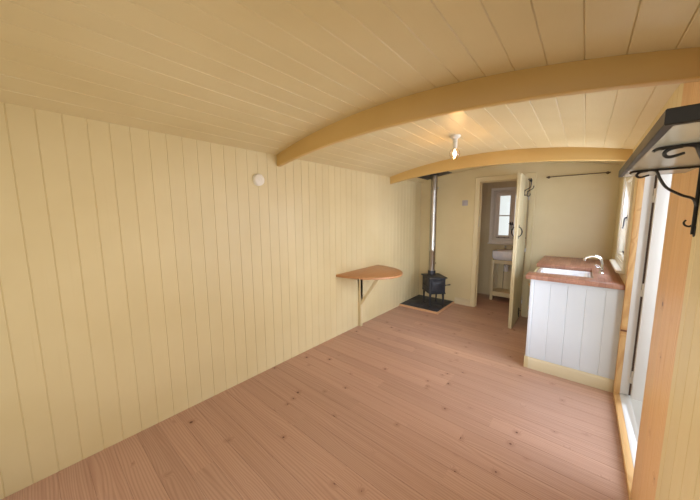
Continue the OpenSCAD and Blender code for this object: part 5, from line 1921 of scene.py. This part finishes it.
@dataclass
class Kitchen:
    """Boarded unit with its doors and plinth, stave worktop, deep sink and tap."""

    front: float = 0.624
    near: float = 0.430
    far: float = 1.970
    top: float = 1.025
    plinth: float = 0.109
    plinth_out: float = 0.006
    plinth_near: float = 0.012
    door: float = 0.010
    rail: float = 0.055
    worktop: float = 0.040
    worktop_front: float = 0.586
    worktop_near: float = 0.402
    sink: tuple[float, float, float, float] = (0.616, 1.071, 0.585, 1.185)
    sink_depth: float = 0.255
    sink_wall: float = 0.040
    gap: tuple[float, float, float] = (0.595, 1.175, 1.061)
    end_board: float = 0.122
    stile: float = 0.030

    def carcass(self) -> None:
        """Unit's body behind its faces, cut away round the sink."""
        x0, x1, y0, y1 = self.front + self.door + 0.002, ROOM.half, self.near + 0.012, self.far
        _, sx1, sy0, sy1 = self.sink
        foot, low = ROOM.floor, self.top - self.sink_depth
        form = Form("unit_carcass")
        for start, end in (((x0, y0, foot), (x1, sy0, self.top)), ((x0, sy1, foot), (x1, y1, self.top)),
                           ((x0, sy0, foot), (x1, sy1, low)), ((sx1, sy0, low), (x1, sy1, self.top))):
            form.box(start, end, 0.0)
        form.done(UNIT_PAINT, "unit_paint", "kitchen_unit")

    def end_panel(self) -> None:
        """End panel toward the room: stile, boards, top rail, moulded plinth and grooved corner post."""
        y, t, front, inner = self.near, 0.012, self.front, self.front + self.stile
        foot, low, high = ROOM.floor, ROOM.floor + self.plinth, self.top - 0.026
        form = Form("unit_end_stile")
        form.box((front, y, low - 0.01), (inner, y + t + 0.008, self.top), 0.0025, 2)
        form.box((inner, y + 0.0015, high), (ROOM.half, y + t, self.top), 0.002)
        form.done(UNIT_PAINT, "unit_paint", "kitchen_unit")
        Boarding("unit_end_boards", UNIT_PAINT, "unit_paint", "kitchen_unit", Axis.X, y + 0.0025, -1,
                 (inner, ROOM.half), low - 0.004, high, width=self.end_board, thick=0.010, joint=0.0038,
                 seed=61).build()
        f, p = front - self.plinth_out, self.plinth_near
        form = Form("unit_plinth_end")
        form.prism([(y - out, z) for out, z in (
            (0, foot), (0, low), (0.004, low), (0.006, low - 0.006), (p - 0.002, low - 0.012), (p, low - 0.018),
            (p, foot))], f + 0.034, ROOM.half, Axis.X)
        form.done(CREAM_ACROSS, "unit_paint", "kitchen_unit", smooth_deg=50)
        form = Form("unit_plinth_front")
        form.box((f, y + 0.022, foot), (front + self.door, self.far, low), 0.003, 2)
        for x, wide in ((f, 0.0105), (f + 0.0125, 0.0105), (f + 0.025, 0.009)):
            form.box((x, y - p, foot), (x + wide, y + 0.022, low + 0.001), 0.0022, 2)
        form.box((f + 0.002, y - p + 0.003, foot), (f + 0.034, y + 0.022, low - 0.001), 0.0)
        form.done(CREAM, "unit_paint", "kitchen_unit")

    def doors(self) -> None:
        """Framed doors with a boarded panel and a turned knob, on the unit's front."""
        under, middle = self.sink[2], (self.gap[0] + self.gap[1]) / 2
        edges = (self.near, under, middle, self.sink[3], (self.gap[1] + self.far) / 2, self.far)
        form, knobs = Form("unit_doors"), Form("unit_knobs")
        x0, x1, low, rail = self.front, self.front + self.door + 0.002, ROOM.floor + self.plinth, self.rail
        for i, (a, b) in enumerate(zip(edges, edges[1:])):
            a, b = a + (0.020 if i == 0 else 0.002), b - 0.004
            high = self.top - 0.006 - (self.sink_depth if i in (1, 2) else 0.0)
            form.frame((a, low + 0.003), (b, high), (a + rail, low + rail), (b - rail, high - rail), (x0, x1),
                       Axis.X, 0.0018)
            count = max(2, round((b - a - 2 * rail) / 0.06))
            w = (b - a - 2 * rail) / count
            for k in range(count):
                y = a + rail + k * w
                form.prism([(x0 + 0.0055, y + 0.002), (x0 + 0.0055, y + w - 0.002), (x0 + 0.0075, y + w),
                            (x1 - 0.001, y + w), (x1 - 0.001, y), (x0 + 0.0075, y)], low + rail - 0.004,
                           high - rail + 0.004)
            knobs.lathe(mm(0.1, -26, 8, -25, 12.5, -21, 13.5, -16, 10, -11, 6.5, -7, 7.5, -1, 9, 1),
                        (x0, a + rail / 2 if i % 2 else b - rail / 2, high - 0.075), Axis.X, 28)
        form.done(UNIT_PAINT, "unit_paint", "kitchen_unit")
        knobs.done(OILED_PINE, "oiled_pine")

    def top_board(self) -> None:
        """Worktop round the sink, with eased and chamfered edges, and the cream rail before the sink."""
        x0, x1, y0, y1, z = self.worktop_front, ROOM.half, self.worktop_near, self.far, self.top
        a, b, c = self.gap
        form = Form("worktop_board")
        form.prism([(x0, y0), (x1, y0), (x1, y1), (x0, y1), (x0, b), (c, b), (c, a), (x0, a)], z, z + self.worktop,
                   Axis.Z, 0.0045, 2)
        form.done(WORKTOP, "worktop_wood", "worktop", smooth_deg=50)
        form = Form("sink_rail")
        form.box((x0 + 0.012, a - 0.004, z - 0.050), (self.sink[0] - 0.001, b + 0.004, z - 0.004), 0.003, 2)
        form.done(CREAM, "unit_paint")

    def belfast(self) -> None:
        """Deep sink with soft edges, a bowl that falls to its waste, and an overflow."""
        x0, x1, y0, y1 = self.sink
        z1, z0, t = self.top, self.top - self.sink_depth, self.sink_wall
        low, middle = z0 + t, ((x0 + x1) / 2, (y0 + y1) / 2)
        outer = [(z, out, 0.014) for z, out in ((z0, -0.006), (z0 + 0.002, -0.002), (z0 + 0.006, 0.0),
                                                (z1 - 0.008, 0.0), (z1 - 0.003, -0.0015), (z1, -0.006))]
        inner = [(z, -t - further, radius) for z, further, radius in (
            (z1, -0.008, 0.030), (z1 - 0.003, -0.002, 0.034), (z1 - 0.010, 0.0, 0.035), (low + 0.030, 0.004, 0.036),
            (low + 0.010, 0.011, 0.040), (low + 0.002, 0.026, 0.046), (low - 0.001, 0.060, 0.050))]
        form = Form("belfast_sink")
        form.tiers((x0, y0), (x1, y1), outer + inner, 6,
                   (middle, ((0.046, low - 0.004), (0.044, low - 0.007), (0.0001, low - 0.007))))
        form.done(FIRECLAY, "white_glaze", "sink", smooth_deg=60)
        form = Form("sink_waste")
        form.lathe(mm(0.1, -4.5, 12, -4.5, 13, -2, 36, -2, 42, -3.5, 43, -6, 0.1, -6), (*middle, low), steps=40)
        form.lathe(mm(8, 0, 13, 0, 14, -2, 13, -4, 8, -4), (x1 - t - 0.001, middle[1], z1 - 0.050), Axis.X, 24,
                   looped=True)
        form.done(CHROME, "flue_steel")

    def tap(self) -> None:
        """Swan-neck tap with two cross-head levers, on the worktop behind the sink."""
        x, y, z = self.gap[2] + 0.060, (self.gap[0] + self.gap[1]) / 2, self.top + self.worktop
        form = Form("kitchen_tap")
        form.lathe(mm(0.1, 0, 26, 0, 26, 4, 17, 10, 14, 20, 16, 50, 13, 60, 10.5, 70, 0.1, 70), (x, y, z), steps=36)
        path = bend([(x - out, y, z + up) for out, up in mm(0, 60, 0, 100, 20, 145, 70, 160, 118, 140, 130, 110)])
        form.tube(path, [0.0095 if i < len(path) - 3 else 0.0108 for i in range(len(path))], 18)
        for side in (-1, 1):
            hub, elbow, tip = y + side * 0.052, y + side * 0.070, (x - 0.040, y + side * 0.086, z + 0.064)
            form.tube([(x, y + side * 0.012, z + 0.036), (x, hub, z + 0.036)], 0.0105, 18)
            form.lathe(mm(0.1, 0, 13, 0, 14, 4, 10, 16, 0.1, 18), (x, hub, z + 0.040), steps=24)
            form.tube([(x, hub, z + 0.052), (x - 0.018, elbow, z + 0.062), tip], [0.005, 0.0045, 0.006], 12)
            form.ball(tip, 0.0066)
        form.done(CHROME, "flue_steel", smooth_deg=50)

    def build(self) -> None:
        """Builds the whole kitchen."""
        for step in (self.carcass, self.end_panel, self.doors, self.top_board, self.belfast, self.tap):
            step()


@dataclass
class WallTable:
    """Half-round table on a post, with a brace and bearers."""

    centre: float = 0.215
    length: float = 0.876
    reach: float = 0.600
    top: float = 0.925
    thick: float = 0.026
    post: float = 0.045
    bearer: float = 0.040
    bearer_out: float = 0.400
    cleat: tuple[float, float] = (0.030, 0.280)

    def build(self) -> None:
        """Builds the table and its bracket."""
        x0, y0, z0, z1 = -ROOM.half, self.centre, self.top - self.thick, self.top
        form = Form("table_top")
        form.loft([ring_on(Axis.Z, [(x0 + max(0.0, (self.reach - inset) * math.sin(math.pi * i / 64)),
                                     y0 - (self.length / 2 - inset) * math.cos(math.pi * i / 64))
                                    for i in range(65)], z)
                   for z, inset in ((z0, 0.003), (z0 + 0.003, 0.0), (z1 - 0.006, 0.0), (z1 - 0.002, 0.002),
                                    (z1, 0.006))])
        form.done(TABLE_WOOD, "table_wood", "wall_table", smooth_deg=40)
        p, (t, long), foot, low = self.post, self.cleat, ROOM.floor, z0 - self.bearer
        a, b = y0 - p / 2, y0 + p / 2
        form = Form("table_post")
        form.box((x0, a, foot), (x0 + p, b, z0), 0.003, 2)
        form.box((x0 + p, a, low), (x0 + self.bearer_out, b, z0), 0.003, 2)
        form.prism([(x0 + p, foot + 0.290), (x0 + p, foot + 0.345), (x0 + p + 0.250, low), (x0 + p + 0.305, low)],
                   a + 0.003, b - 0.003, Axis.Y, 0.003, 2)
        for start in (a - long, b):
            form.box((x0, start, low), (x0 + t, start + long, z0), 0.003, 2)
        form.done(CREAM, "cream_paint", "table_bracket")
        screws = Fixings()
        for z in (foot + 0.12, foot + 0.42, z0 - 0.10):
            screws.mark((x0 + p, y0, z), (1, 0, 0))
        for y in (a - long * 0.85, a - long * 0.35, b + long * 0.35, b + long * 0.85):
            screws.mark((x0 + t, y, z0 - self.bearer / 2), (1, 0, 0))
        screws.build("table_screws", ZINC, "cream_paint", radius=0.0036)


@dataclass
class Shelf:
    """Dark shelf board on two forged brackets with curled ends."""

    near: float = -1.828
    far: float = -0.938
    depth: float = 0.182
    low: float = 1.764
    thick: float = 0.028
    brackets: tuple[float, float] = (-1.158, -1.608)
    leg: float = 0.220
    flat: float = 1.9

    def bracket(self, form: Form, screws: Fixings, y: float) -> None:
        """One forged bracket: arm, brace and leg of one bar, a front curl and a hook at the leg's foot.

        Args:
            form: mesh that it joins.
            screws: where its fixings are noted.
            y: its place along the wall.
        """
        wall, z, foot = ROOM.half, self.low, self.leg / MM

        def bar(*spots: float, steps: int, size: float, less: float = 0.0, flat: float = 1.0) -> None:
            """Bar through places out from the wall and down from the shelf, in millimetres, that thins by less."""
            path = [Vector((wall - out, y, z - down)) for out, down in mm(*spots)]
            path = bend(path, steps) if steps else path
            form.tube(path, [size - less * i / len(path) for i in range(len(path))], 10, flat)

        bar(166, 10, 160, 5.5, 140, 4, 50, 4, 2, 4, steps=5, size=0.0036, flat=self.flat)
        bar(112, 4, 101, 9, 91, 35, 73, 66, 40, 91, 13, 105, 4.5, 130, steps=6, size=0.0040, flat=self.flat)
        bar(4, 2, 4, 110, 4, foot, steps=0, size=0.0040, flat=self.flat)
        bar(122, 4, 137, 6.5, 147, 13, 147, 21, 139, 25.5, 124, 21.5, 118, 19.5, steps=6, size=0.0046, less=0.0018,
            flat=1.4)
        bar(5, foot - 32, 13, foot - 26, 22, foot - 29, 26, foot - 38, 22, foot - 47, steps=6, size=0.0034,
            less=0.0010)
        form.prism(rounded((y - 0.009, z - self.leg - 0.008), (y + 0.009, z - self.leg + 0.030), 0.008),
                   wall - 0.003, wall, Axis.X, 0.0008)
        for out, down in ((0.0042, self.leg - 0.004), (0.0072, 0.050)):
            screws.mark((wall - out, y, z - down), (-1, 0, 0))
        for out in (0.030, 0.152):
            screws.mark((wall - out, y, z - 0.0068), (0, 0, -1))

    def build(self) -> None:
        """Builds the shelf and its brackets."""
        edge, t, z0, z1 = 0.012, self.thick, self.low, self.low + self.thick
        x0, x1, y0, y1 = ROOM.half - self.depth + edge, ROOM.half, self.near + edge, self.far - edge
        form = Form("shelf_board")
        form.box((x0, y0, z0), (x1, y1, z1 - 0.002), 0.0)
        # The board's pale grey is partly painted reflection of window light on its underside.
        form.done(SHELF_PAINT_AND_REFLECTION, "shelf_paint", "wall_shelf")
        form = Form("shelf_edging")
        form.moulding([(0, 0), (0.010, 0), (edge, 0.002), (edge, t - 0.002), (0.010, t), (-0.001, t), (-0.001, 0)],
                      [(x1, y0, z0), (x0, y0, z0), (x0, y1, z0), (x1, y1, z0)], (0, 0, 1))
        form.box((x0 - 0.002, y0 - 0.002, z1 - 0.003), (x1, y1 + 0.002, z1 - 0.0005), 0.0)
        form.done(SHELF_EDGE, "shelf_paint", "wall_shelf")
        form, screws = Form("shelf_ironwork"), Fixings()
        for y in self.brackets:
            self.bracket(form, screws, y)
        form.done(BLACK_IRON, "black_iron", "shelf_brackets", smooth_deg=50)
        screws.build("shelf_screws", SCREW_IRON, "black_iron", radius=0.0036)


@dataclass
class SmallFittings:
    """Hook rail, switch plate, detector and ceiling lamp."""

    rail: tuple[float, float, float] = (0.545, 1.155, 2.105)
    rail_out: float = 0.030
    switch: tuple[float, float] = (-0.495, 1.811)
    detector: tuple[float, float] = (-1.203, 1.936)
    lamp: tuple[float, float] = (0.020, 0.032)
    globe: float = 0.0465

    def hook_rail(self) -> None:
        """Black rail on two bosses, with turned ends."""
        (x0, x1, z), y = self.rail, ROOM.partition
        form = Form("rail")
        form.tube([(x, y - self.rail_out, z) for x in (x0 + 0.006, x1 - 0.006)], 0.005, 20)
        for x in (x0 + 0.004, x1 - 0.004):
            form.ball((x, y - self.rail_out, z), 0.0085)
        for x in (x0 + 0.020, x1 - 0.020):
            form.lathe(mm(0.1, 0, 16, 0, 16, -2, 12, -5, 6, -8, 5.5, -30, 0.1, -31), (x, y, z), Axis.Y, 28)
        form.done(BRONZED, "black_iron", "hook_rail", smooth_deg=50)

    def switch_plate(self) -> None:
        """Light switch with a raised rocker."""
        (x, z), y, half = self.switch, ROOM.partition, 0.043
        form = Form("switch_plate")
        form.prism(rounded((x - half, z - half), (x + half, z + half), 0.006), y - 0.008, y, Axis.Y, 0.002, 2)
        form.prism([(y - out, z + up) for out, up in mm(8, -13, 12.5, -12, 9.5, 12, 8, 13)], x - 0.008, x + 0.008,
                   Axis.X, 0.0006)
        # The plate's grey is painted shade over white plastic.
        form.done(WHITE_PLASTIC_PAINTED_SHADE, "lamp_white")

    def smoke_detector(self) -> None:
        """Round detector: base, slotted waist and a domed cover with a test button."""
        at, count = (-ROOM.half, *self.detector), 36
        form = Form("detector")
        form.lathe(mm(0.1, 0, 52, 0, 52, 9, 49, 11, 47, 12.5, 47, 19, 49, 20.5, 49.5, 23, 46, 28, 36, 32, 16, 34,
                      15.5, 32.8, 12.5, 32.8, 12, 34.2, 0.1, 34.6), at, Axis.X, 64)
        form.done(PLASTIC, "detector_plastic", "smoke_detector", smooth_deg=40)
        fin = Form("detector_fin")
        fin.box((0.0120, -0.0012, 0.0460), (0.0200, 0.0012, 0.0490), 0.0004)
        mesh = repeated(fin.mesh(), count, turn=(math.tau / count, 0, 0), offset=at, seed=71)
        finished("detector_fins", mesh, PLASTIC, "detector_plastic")

    def ceiling_lamp(self) -> None:
        """Lamp holder with its rose, and a clear globe over the lit core."""
        at, r, drop, thick = (*self.lamp, ROOM.vault.at(self.lamp[0]) - 0.0002), self.globe, -0.156, 0.0011
        outer = [(r * math.sin(a), drop - r * math.cos(a)) for a in (math.pi * 0.91 * i / 24 for i in range(25))]
        inner = [(max(0.0001, x - thick * x / r), drop + (z - drop) * 0.977) for x, z in outer]
        holder = mm(0.1, 0, 46, 0, 46, -6, 43, -14, 34, -21, 24, -26, 20.5, -34, 20.5, -52, 22, -54, 22, -60,
                    20.5, -62, 19.5, -90, 18, -100, 14.5, -106, 0.1, -106)
        cap = mm(0.1, -104, 13.5, -104, 13.5, -116, 12.5, -118, 0.1, -118)
        globe = [(max(x, 0.0001), z) for x, z in outer] + inner[::-1]
        core = mm(0.1, -188, 6, -186, 12, -178, 16, -164, 16, -152, 12, -138, 7, -126, 5, -112, 0.1, -112)
        for name, profile, steps, finish, slot, nodes, smooth in (
                ("lamp_holder", holder, 48, PLASTIC, "lamp_white", ("ceiling_lamp",), 40.0),
                ("lamp_cap", cap, 32, ZINC, "lamp_white", (), 32.0),
                ("lamp_globe", globe, 48, BULB_GLASS, "glass", (), 60.0),
                ("lamp_core", core, 32, BULB_CORE, "lamp_white", (), 60.0)):
            form = Form(name)
            form.lathe(profile, at, steps=steps)
            form.done(finish, slot, *nodes, smooth_deg=smooth)

    def build(self) -> None:
        """Builds the small fittings."""
        for step in (self.hook_rail, self.switch_plate, self.smoke_detector, self.ceiling_lamp):
            step()


@dataclass
class Washroom:
    """Washstand of posts and rails, basin, pillar taps and bottle trap."""

    half: float = 0.205
    near: float = 2.550
    far: float = 2.864
    top: float = 0.860
    basin_half: float = 0.200
    basin_near: float = 2.544
    basin_top: float = 1.020
    basin_back: float = 0.030
    wall: float = 0.025
    leg: float = 0.045
    rail: float = 0.060
    shelf: float = 0.300
    slats: int = 5
    taps: tuple[float, float] = (-0.055, 0.055)

    def stand(self) -> None:
        """Posts, rails and a low slatted shelf."""
        a, y0, y1, g, r = self.half, self.near, self.far, self.leg, self.rail
        form = Form("washstand_frame")
        for x in (-a, a - g):
            for y in (y0, y1 - g):
                form.box((x, y, ROOM.floor), (x + g, y + g, self.top), 0.003, 2)
        for z in (self.top - r, self.shelf - r):
            for y in (y0 + 0.006, y1 - 0.028):
                form.box((-a + g, y, z), (a - g, y + 0.022, z + r), 0.002)
            for x in (-a + 0.006, a - 0.028):
                form.box((x, y0 + g, z), (x + 0.022, y1 - g, z + r), 0.002)
        wide = (2 * a - g * 0.4) / self.slats
        for k in range(self.slats):
            x = -a + g * 0.2 + k * wide
            form.box((x + 0.002, y0 + 0.004, self.shelf), (x + wide - 0.002, y1 - 0.004, self.shelf + 0.016), 0.002)
        form.done(CREAM, "cream_paint", "washstand")

    def bowl(self) -> None:
        """Basin with a rolled rim and a bowl that falls to its waste."""
        a, y0, y1, z0, z1, t, back = (self.basin_half, self.basin_near, self.far, self.top, self.basin_top,
                                      self.wall, self.basin_back)
        low, middle = z0 + t, (0.0, (y0 + y1 - back) / 2)
        outer = [(z, out, 0.030, out * 0.2) for z, out in (
            (z0, -0.040), (z0 + 0.004, -0.030), (z0 + 0.040, -0.006), (z0 + 0.070, 0.0), (z1 - 0.010, 0.0),
            (z1 - 0.003, -0.002), (z1, -0.008))]
        inner = [(z, -t - further, radius, -t - further - back) for z, further, radius in (
            (z1, -0.008, 0.040), (z1 - 0.003, -0.001, 0.044), (z1 - 0.012, 0.002, 0.046),
            (low + 0.060, 0.012, 0.052), (low + 0.025, 0.030, 0.060), (low + 0.006, 0.060, 0.060),
            (low, 0.090, 0.040))]
        form = Form("basin_bowl")
        form.tiers((-a, y0), (a, y1), outer + inner, 6, (middle, ((0.032, low - 0.004), (0.0001, low - 0.005))))
        form.done(CHINA, "white_glaze", "basin", smooth_deg=60)
        form = Form("basin_chrome")
        form.lathe(mm(0.1, -2, 10, -2, 11, 0, 27, 0, 30, -2, 30, -5, 0.1, -5), (*middle, low), steps=32)
        for x in self.taps:
            self.pillar_tap(form, x, y1 - back, z1)
        form.done(CHROME, "flue_steel", smooth_deg=50)

    def pillar_tap(self, form: Form, x: float, y: float, z: float) -> None:
        """Tap with a short spout and a cross head, at a point of the basin's rim.

        Args:
            form: mesh that it joins.
            x: the point's place across.
            y: its place along.
            z: its height.
        """
        form.lathe(mm(0.1, 0, 21, 0, 21, 3, 14, 8, 11, 14, 13, 40, 10, 46, 7, 56, 0.1, 56), (x, y, z), steps=28)
        form.tube(bend([(x, y - out, z + up) for out, up in mm(0, 30, 30, 38, 58, 30, 64, 16)], 6), 0.0080, 14)
        hub = Vector((x, y, z + 0.060))
        for k in range(4):
            turn = k * math.pi / 2 + 0.4
            way = Vector((math.cos(turn), math.sin(turn), 0))
            form.tube([hub, hub + way * 0.022], [0.0045, 0.0038], 10)
            form.ball(hub + way * 0.023, 0.0052)
        form.lathe(mm(0.1, 0, 10, 0, 11, 4, 8, 9, 0.1, 10), (x, y, z + 0.056), steps=24)

    def trap(self) -> None:
        """Bottle trap under the basin, its pipe to the wall and two supplies."""
        y, top, end = (self.basin_near + self.far - self.basin_back) / 2, self.top, self.far - 0.030
        form = Form("bottle_trap")
        form.lathe(mm(0.1, 0, 20, 0, 20, -40, 25, -43, 25, -55, 18, -58, 18, -100, 30, -106, 33, -112, 33, -175,
                      36, -178, 36, -196, 30, -204, 12, -208, 0.1, -208), (0, y, top + 0.004), steps=36)
        form.tube(bend([(0, y + 0.028, top - 0.125), (0, y + 0.060, top - 0.125), (0, y + 0.100, top - 0.127),
                        (0, self.far, top - 0.130)], 5), 0.0165, 18)
        form.lathe(mm(0.1, 0, 24, 0, 24, 14, 0.1, 14), (0, y + 0.034, top - 0.125), Axis.Y, 28)
        form.done(TRAP_PLASTIC, "white_glaze", smooth_deg=45)
        form = Form("supply_pipes")
        for x in self.taps:
            form.tube(bend([(x, end, top + 0.010), (x, end, top - 0.080), (x * 1.15, end + 0.008, top - 0.200),
                            (x * 1.2, end + 0.014, self.shelf + 0.06), (x * 1.2, end + 0.014, ROOM.floor)], 6),
                      0.0062, 14)
        form.done(CHROME, "flue_steel", smooth_deg=50)

    def build(self) -> None:
        """Builds the washroom's fittings."""
        for step in (self.stand, self.bowl, self.trap):
            step()


# Studio

@dataclass(frozen=True)
class SoftLight:
    """Soft rectangular light that the camera doesn't see, at a place and facing an aim."""

    name: str
    at: Point
    aim: Point
    size: tuple[float, float]
    watts: float
    colour: str
    spread_deg: float = 180.0

    def build(self) -> None:
        """Builds the light."""
        data = bpy.data.lights.new(self.name, "AREA")
        data.spread = math.radians(self.spread_deg)
        data.shape, (data.size, data.size_y) = "RECTANGLE", self.size
        data.energy, data.color = self.watts, linear(self.colour)[:3]
        made = bpy.data.objects.new(self.name, data)
        made.location = self.at
        made.rotation_euler = (Vector(self.aim) - Vector(self.at)).to_track_quat("-Z", "Y").to_euler()
        made.visible_camera = False
        bpy.context.scene.collection.objects.link(made)


# Warm light from the open end and low down, cooler daylight from the entrance and the window.
ROOM_LIGHTS = (
    SoftLight("open_end_light", (-0.35, -2.93, 1.25), (-0.4, 0.0, 1.2), (1.6, 1.7), 4.6, "#ffe4bc"),
    SoftLight("entrance_light", (1.30, -0.22, 1.10), (-1.0, -0.30, 1.05), (0.9, 1.9), 17.0, "#dce8ff", 135.0),
    SoftLight("low_fill", (0.0, 0.5, 0.20), (0.0, -0.7, 2.3), (1.2, 1.6), 5.2, "#ffdfae"),
    SoftLight("middle_fill", (0.5, -0.75, 1.00), (-0.9, 1.9, 0.75), (0.7, 0.8), 5.4, "#e8eeff", 84.0),
    SoftLight("left_fill", (-1.05, -1.2, 1.3), (1.25, -1.5, 0.95), (1.6, 1.0), 6.0, "#fff0dc", 84.0),
    SoftLight("near_fill", (1.1, -2.0, 1.3), (-1.2, -1.6, 1.4), (0.8, 1.2), 3.8, "#fff0d8", 104.0),
    SoftLight("washroom_light", (0.75, 2.45, 1.9), (-0.2, 2.3, 0.9), (0.5, 0.5), 0.9, "#ff9040"),
    SoftLight("kitchen_window_light", (1.28, 0.925, 1.58), (-1.0, 1.15, 1.2), (0.5, 0.6), 15.0, "#d2e0ff"),
    SoftLight("worktop_bounce", (0.9, 0.85, 1.15), (0.8, 0.7, 2.3), (0.5, 0.8), 3.0, "#fff0e0", 140.0),
    SoftLight("leaf_light", (2.6, -1.6, 1.7), (1.6, 0.34, 1.5), (0.8, 1.2), 10.0, "#f4f8ff", 70.0),
    SoftLight("outside_entrance", (4.5, -0.8, 2.4), (1.4, -0.1, 1.0), (2.0, 2.0), 42.0, "#f4f8ff"))
OUTSIDE_LIGHTS = tuple(SoftLight("outside_" + name, at, (0, 0, 1.2), (4.0, 4.0), watts, "#ffffff")
                       for name, at, watts in (("left", (-7.0, 0.5, 4.5), 110), ("right", (7.0, 0.5, 4.5), 110),
                                               ("back", (1.5, 8.5, 4.5), 110), ("top", (0.0, 0.0, 7.0), 90)))


@dataclass
class Studio:
    """Camera at the photograph's place, plain pale floor and soft lights."""

    lens: float = 14.164
    yaw_deg: float = 40.367
    pitch_deg: float = 6.907
    roll_deg: float = -0.4236
    eye: tuple[float, float, float] = (0.970, -2.568, 1.610)
    bulb: tuple[float, float, float] = (0.02, 0.032, 2.10)
    bulb_watts: float = 4.0

    def camera(self) -> None:
        """Camera turned as the photograph's was."""
        yaw, pitch, roll = (math.radians(a) for a in (self.yaw_deg, self.pitch_deg, self.roll_deg))
        ahead = Vector((-math.sin(yaw) * math.cos(pitch), math.cos(yaw) * math.cos(pitch), -math.sin(pitch)))
        level = Vector((math.cos(yaw), math.sin(yaw), 0.0))
        rise = level.cross(ahead)
        right = level * math.cos(roll) + rise * math.sin(roll)
        up = rise * math.cos(roll) - level * math.sin(roll)
        data = bpy.data.cameras.new("camera")
        data.sensor_width, data.sensor_fit, data.lens = 36.0, "HORIZONTAL", self.lens
        data.clip_start = 0.02
        made = bpy.data.objects.new("camera", data)
        made.matrix_world = Matrix.Translation(self.eye) @ Matrix((right, up, -ahead)).transposed().to_4x4()
        bpy.context.scene.collection.objects.link(made)
        bpy.context.scene.camera = made

    def lights(self) -> None:
        """Daylight from the open end, the entrance and the windows, the lamp's warm glow, and soft light outside."""
        for light in ROOM_LIGHTS + OUTSIDE_LIGHTS:
            light.build()
        bulb = bpy.data.lights.new("bulb_light", "POINT")
        bulb.energy, bulb.color, bulb.shadow_soft_size = self.bulb_watts, linear("#ffc078")[:3], 0.04
        made = bpy.data.objects.new("bulb_light", bulb)
        made.location = self.bulb
        made.visible_camera = False
        bpy.context.scene.collection.objects.link(made)

    def world(self) -> None:
        """Pale surroundings: white to the camera and in reflections, softer as light."""
        world = bpy.data.worlds.new("pale_surroundings")
        world.use_nodes = True
        tree = world.node_tree
        tree.nodes.clear()
        rays = add(tree, "s.LightPath").node.outputs
        seen = passed(tree, rays["Is Camera Ray"], ("s.Math MAXIMUM", rays["Is Glossy Ray"]),
                      ("s.Math MAXIMUM", rays["Is Transmission Ray"]))
        soft, white = (add(tree, "s.Background", linear("#ffffff"), strength) for strength in (0.6, 1.0))
        add(tree, "s.OutputWorld", add(tree, "s.MixShader", seen, soft, white))
        bpy.context.scene.world = world

    def ground(self) -> None:
        """Plain pale floor under the hut, out of the room's view."""
        form = Form("studio_floor")
        form.box((-12, -12, -0.02), (12, 12, 0.0), 0.0)
        mesh = form.mesh()
        mesh.materials.append(Coated("studio_floor_paint", "#dfddd9", "#dbd9d5", 0.7, patch=0.5).material())
        made = bpy.data.objects.new("studio_floor", mesh)
        bpy.context.scene.collection.objects.link(made)

    def build(self) -> None:
        """Builds the studio."""
        for step in (self.camera, self.lights, self.world, self.ground):
            step()
        bpy.context.scene.view_settings.view_transform = "Standard"


def main() -> None:
    """Builds the hut's looks and its studio in order."""
    logging.basicConfig(level=logging.INFO, format="%(name)s: %(message)s", stream=sys.stdout)
    for part in (Studio(), Shell(), Joinery(), Stove(), Kitchen(), WallTable(), Shelf(), SmallFittings(),
                 Washroom()):
        log.info("building %s", type(part).__name__)
        part.build()


if __name__ == "__main__":
    main()
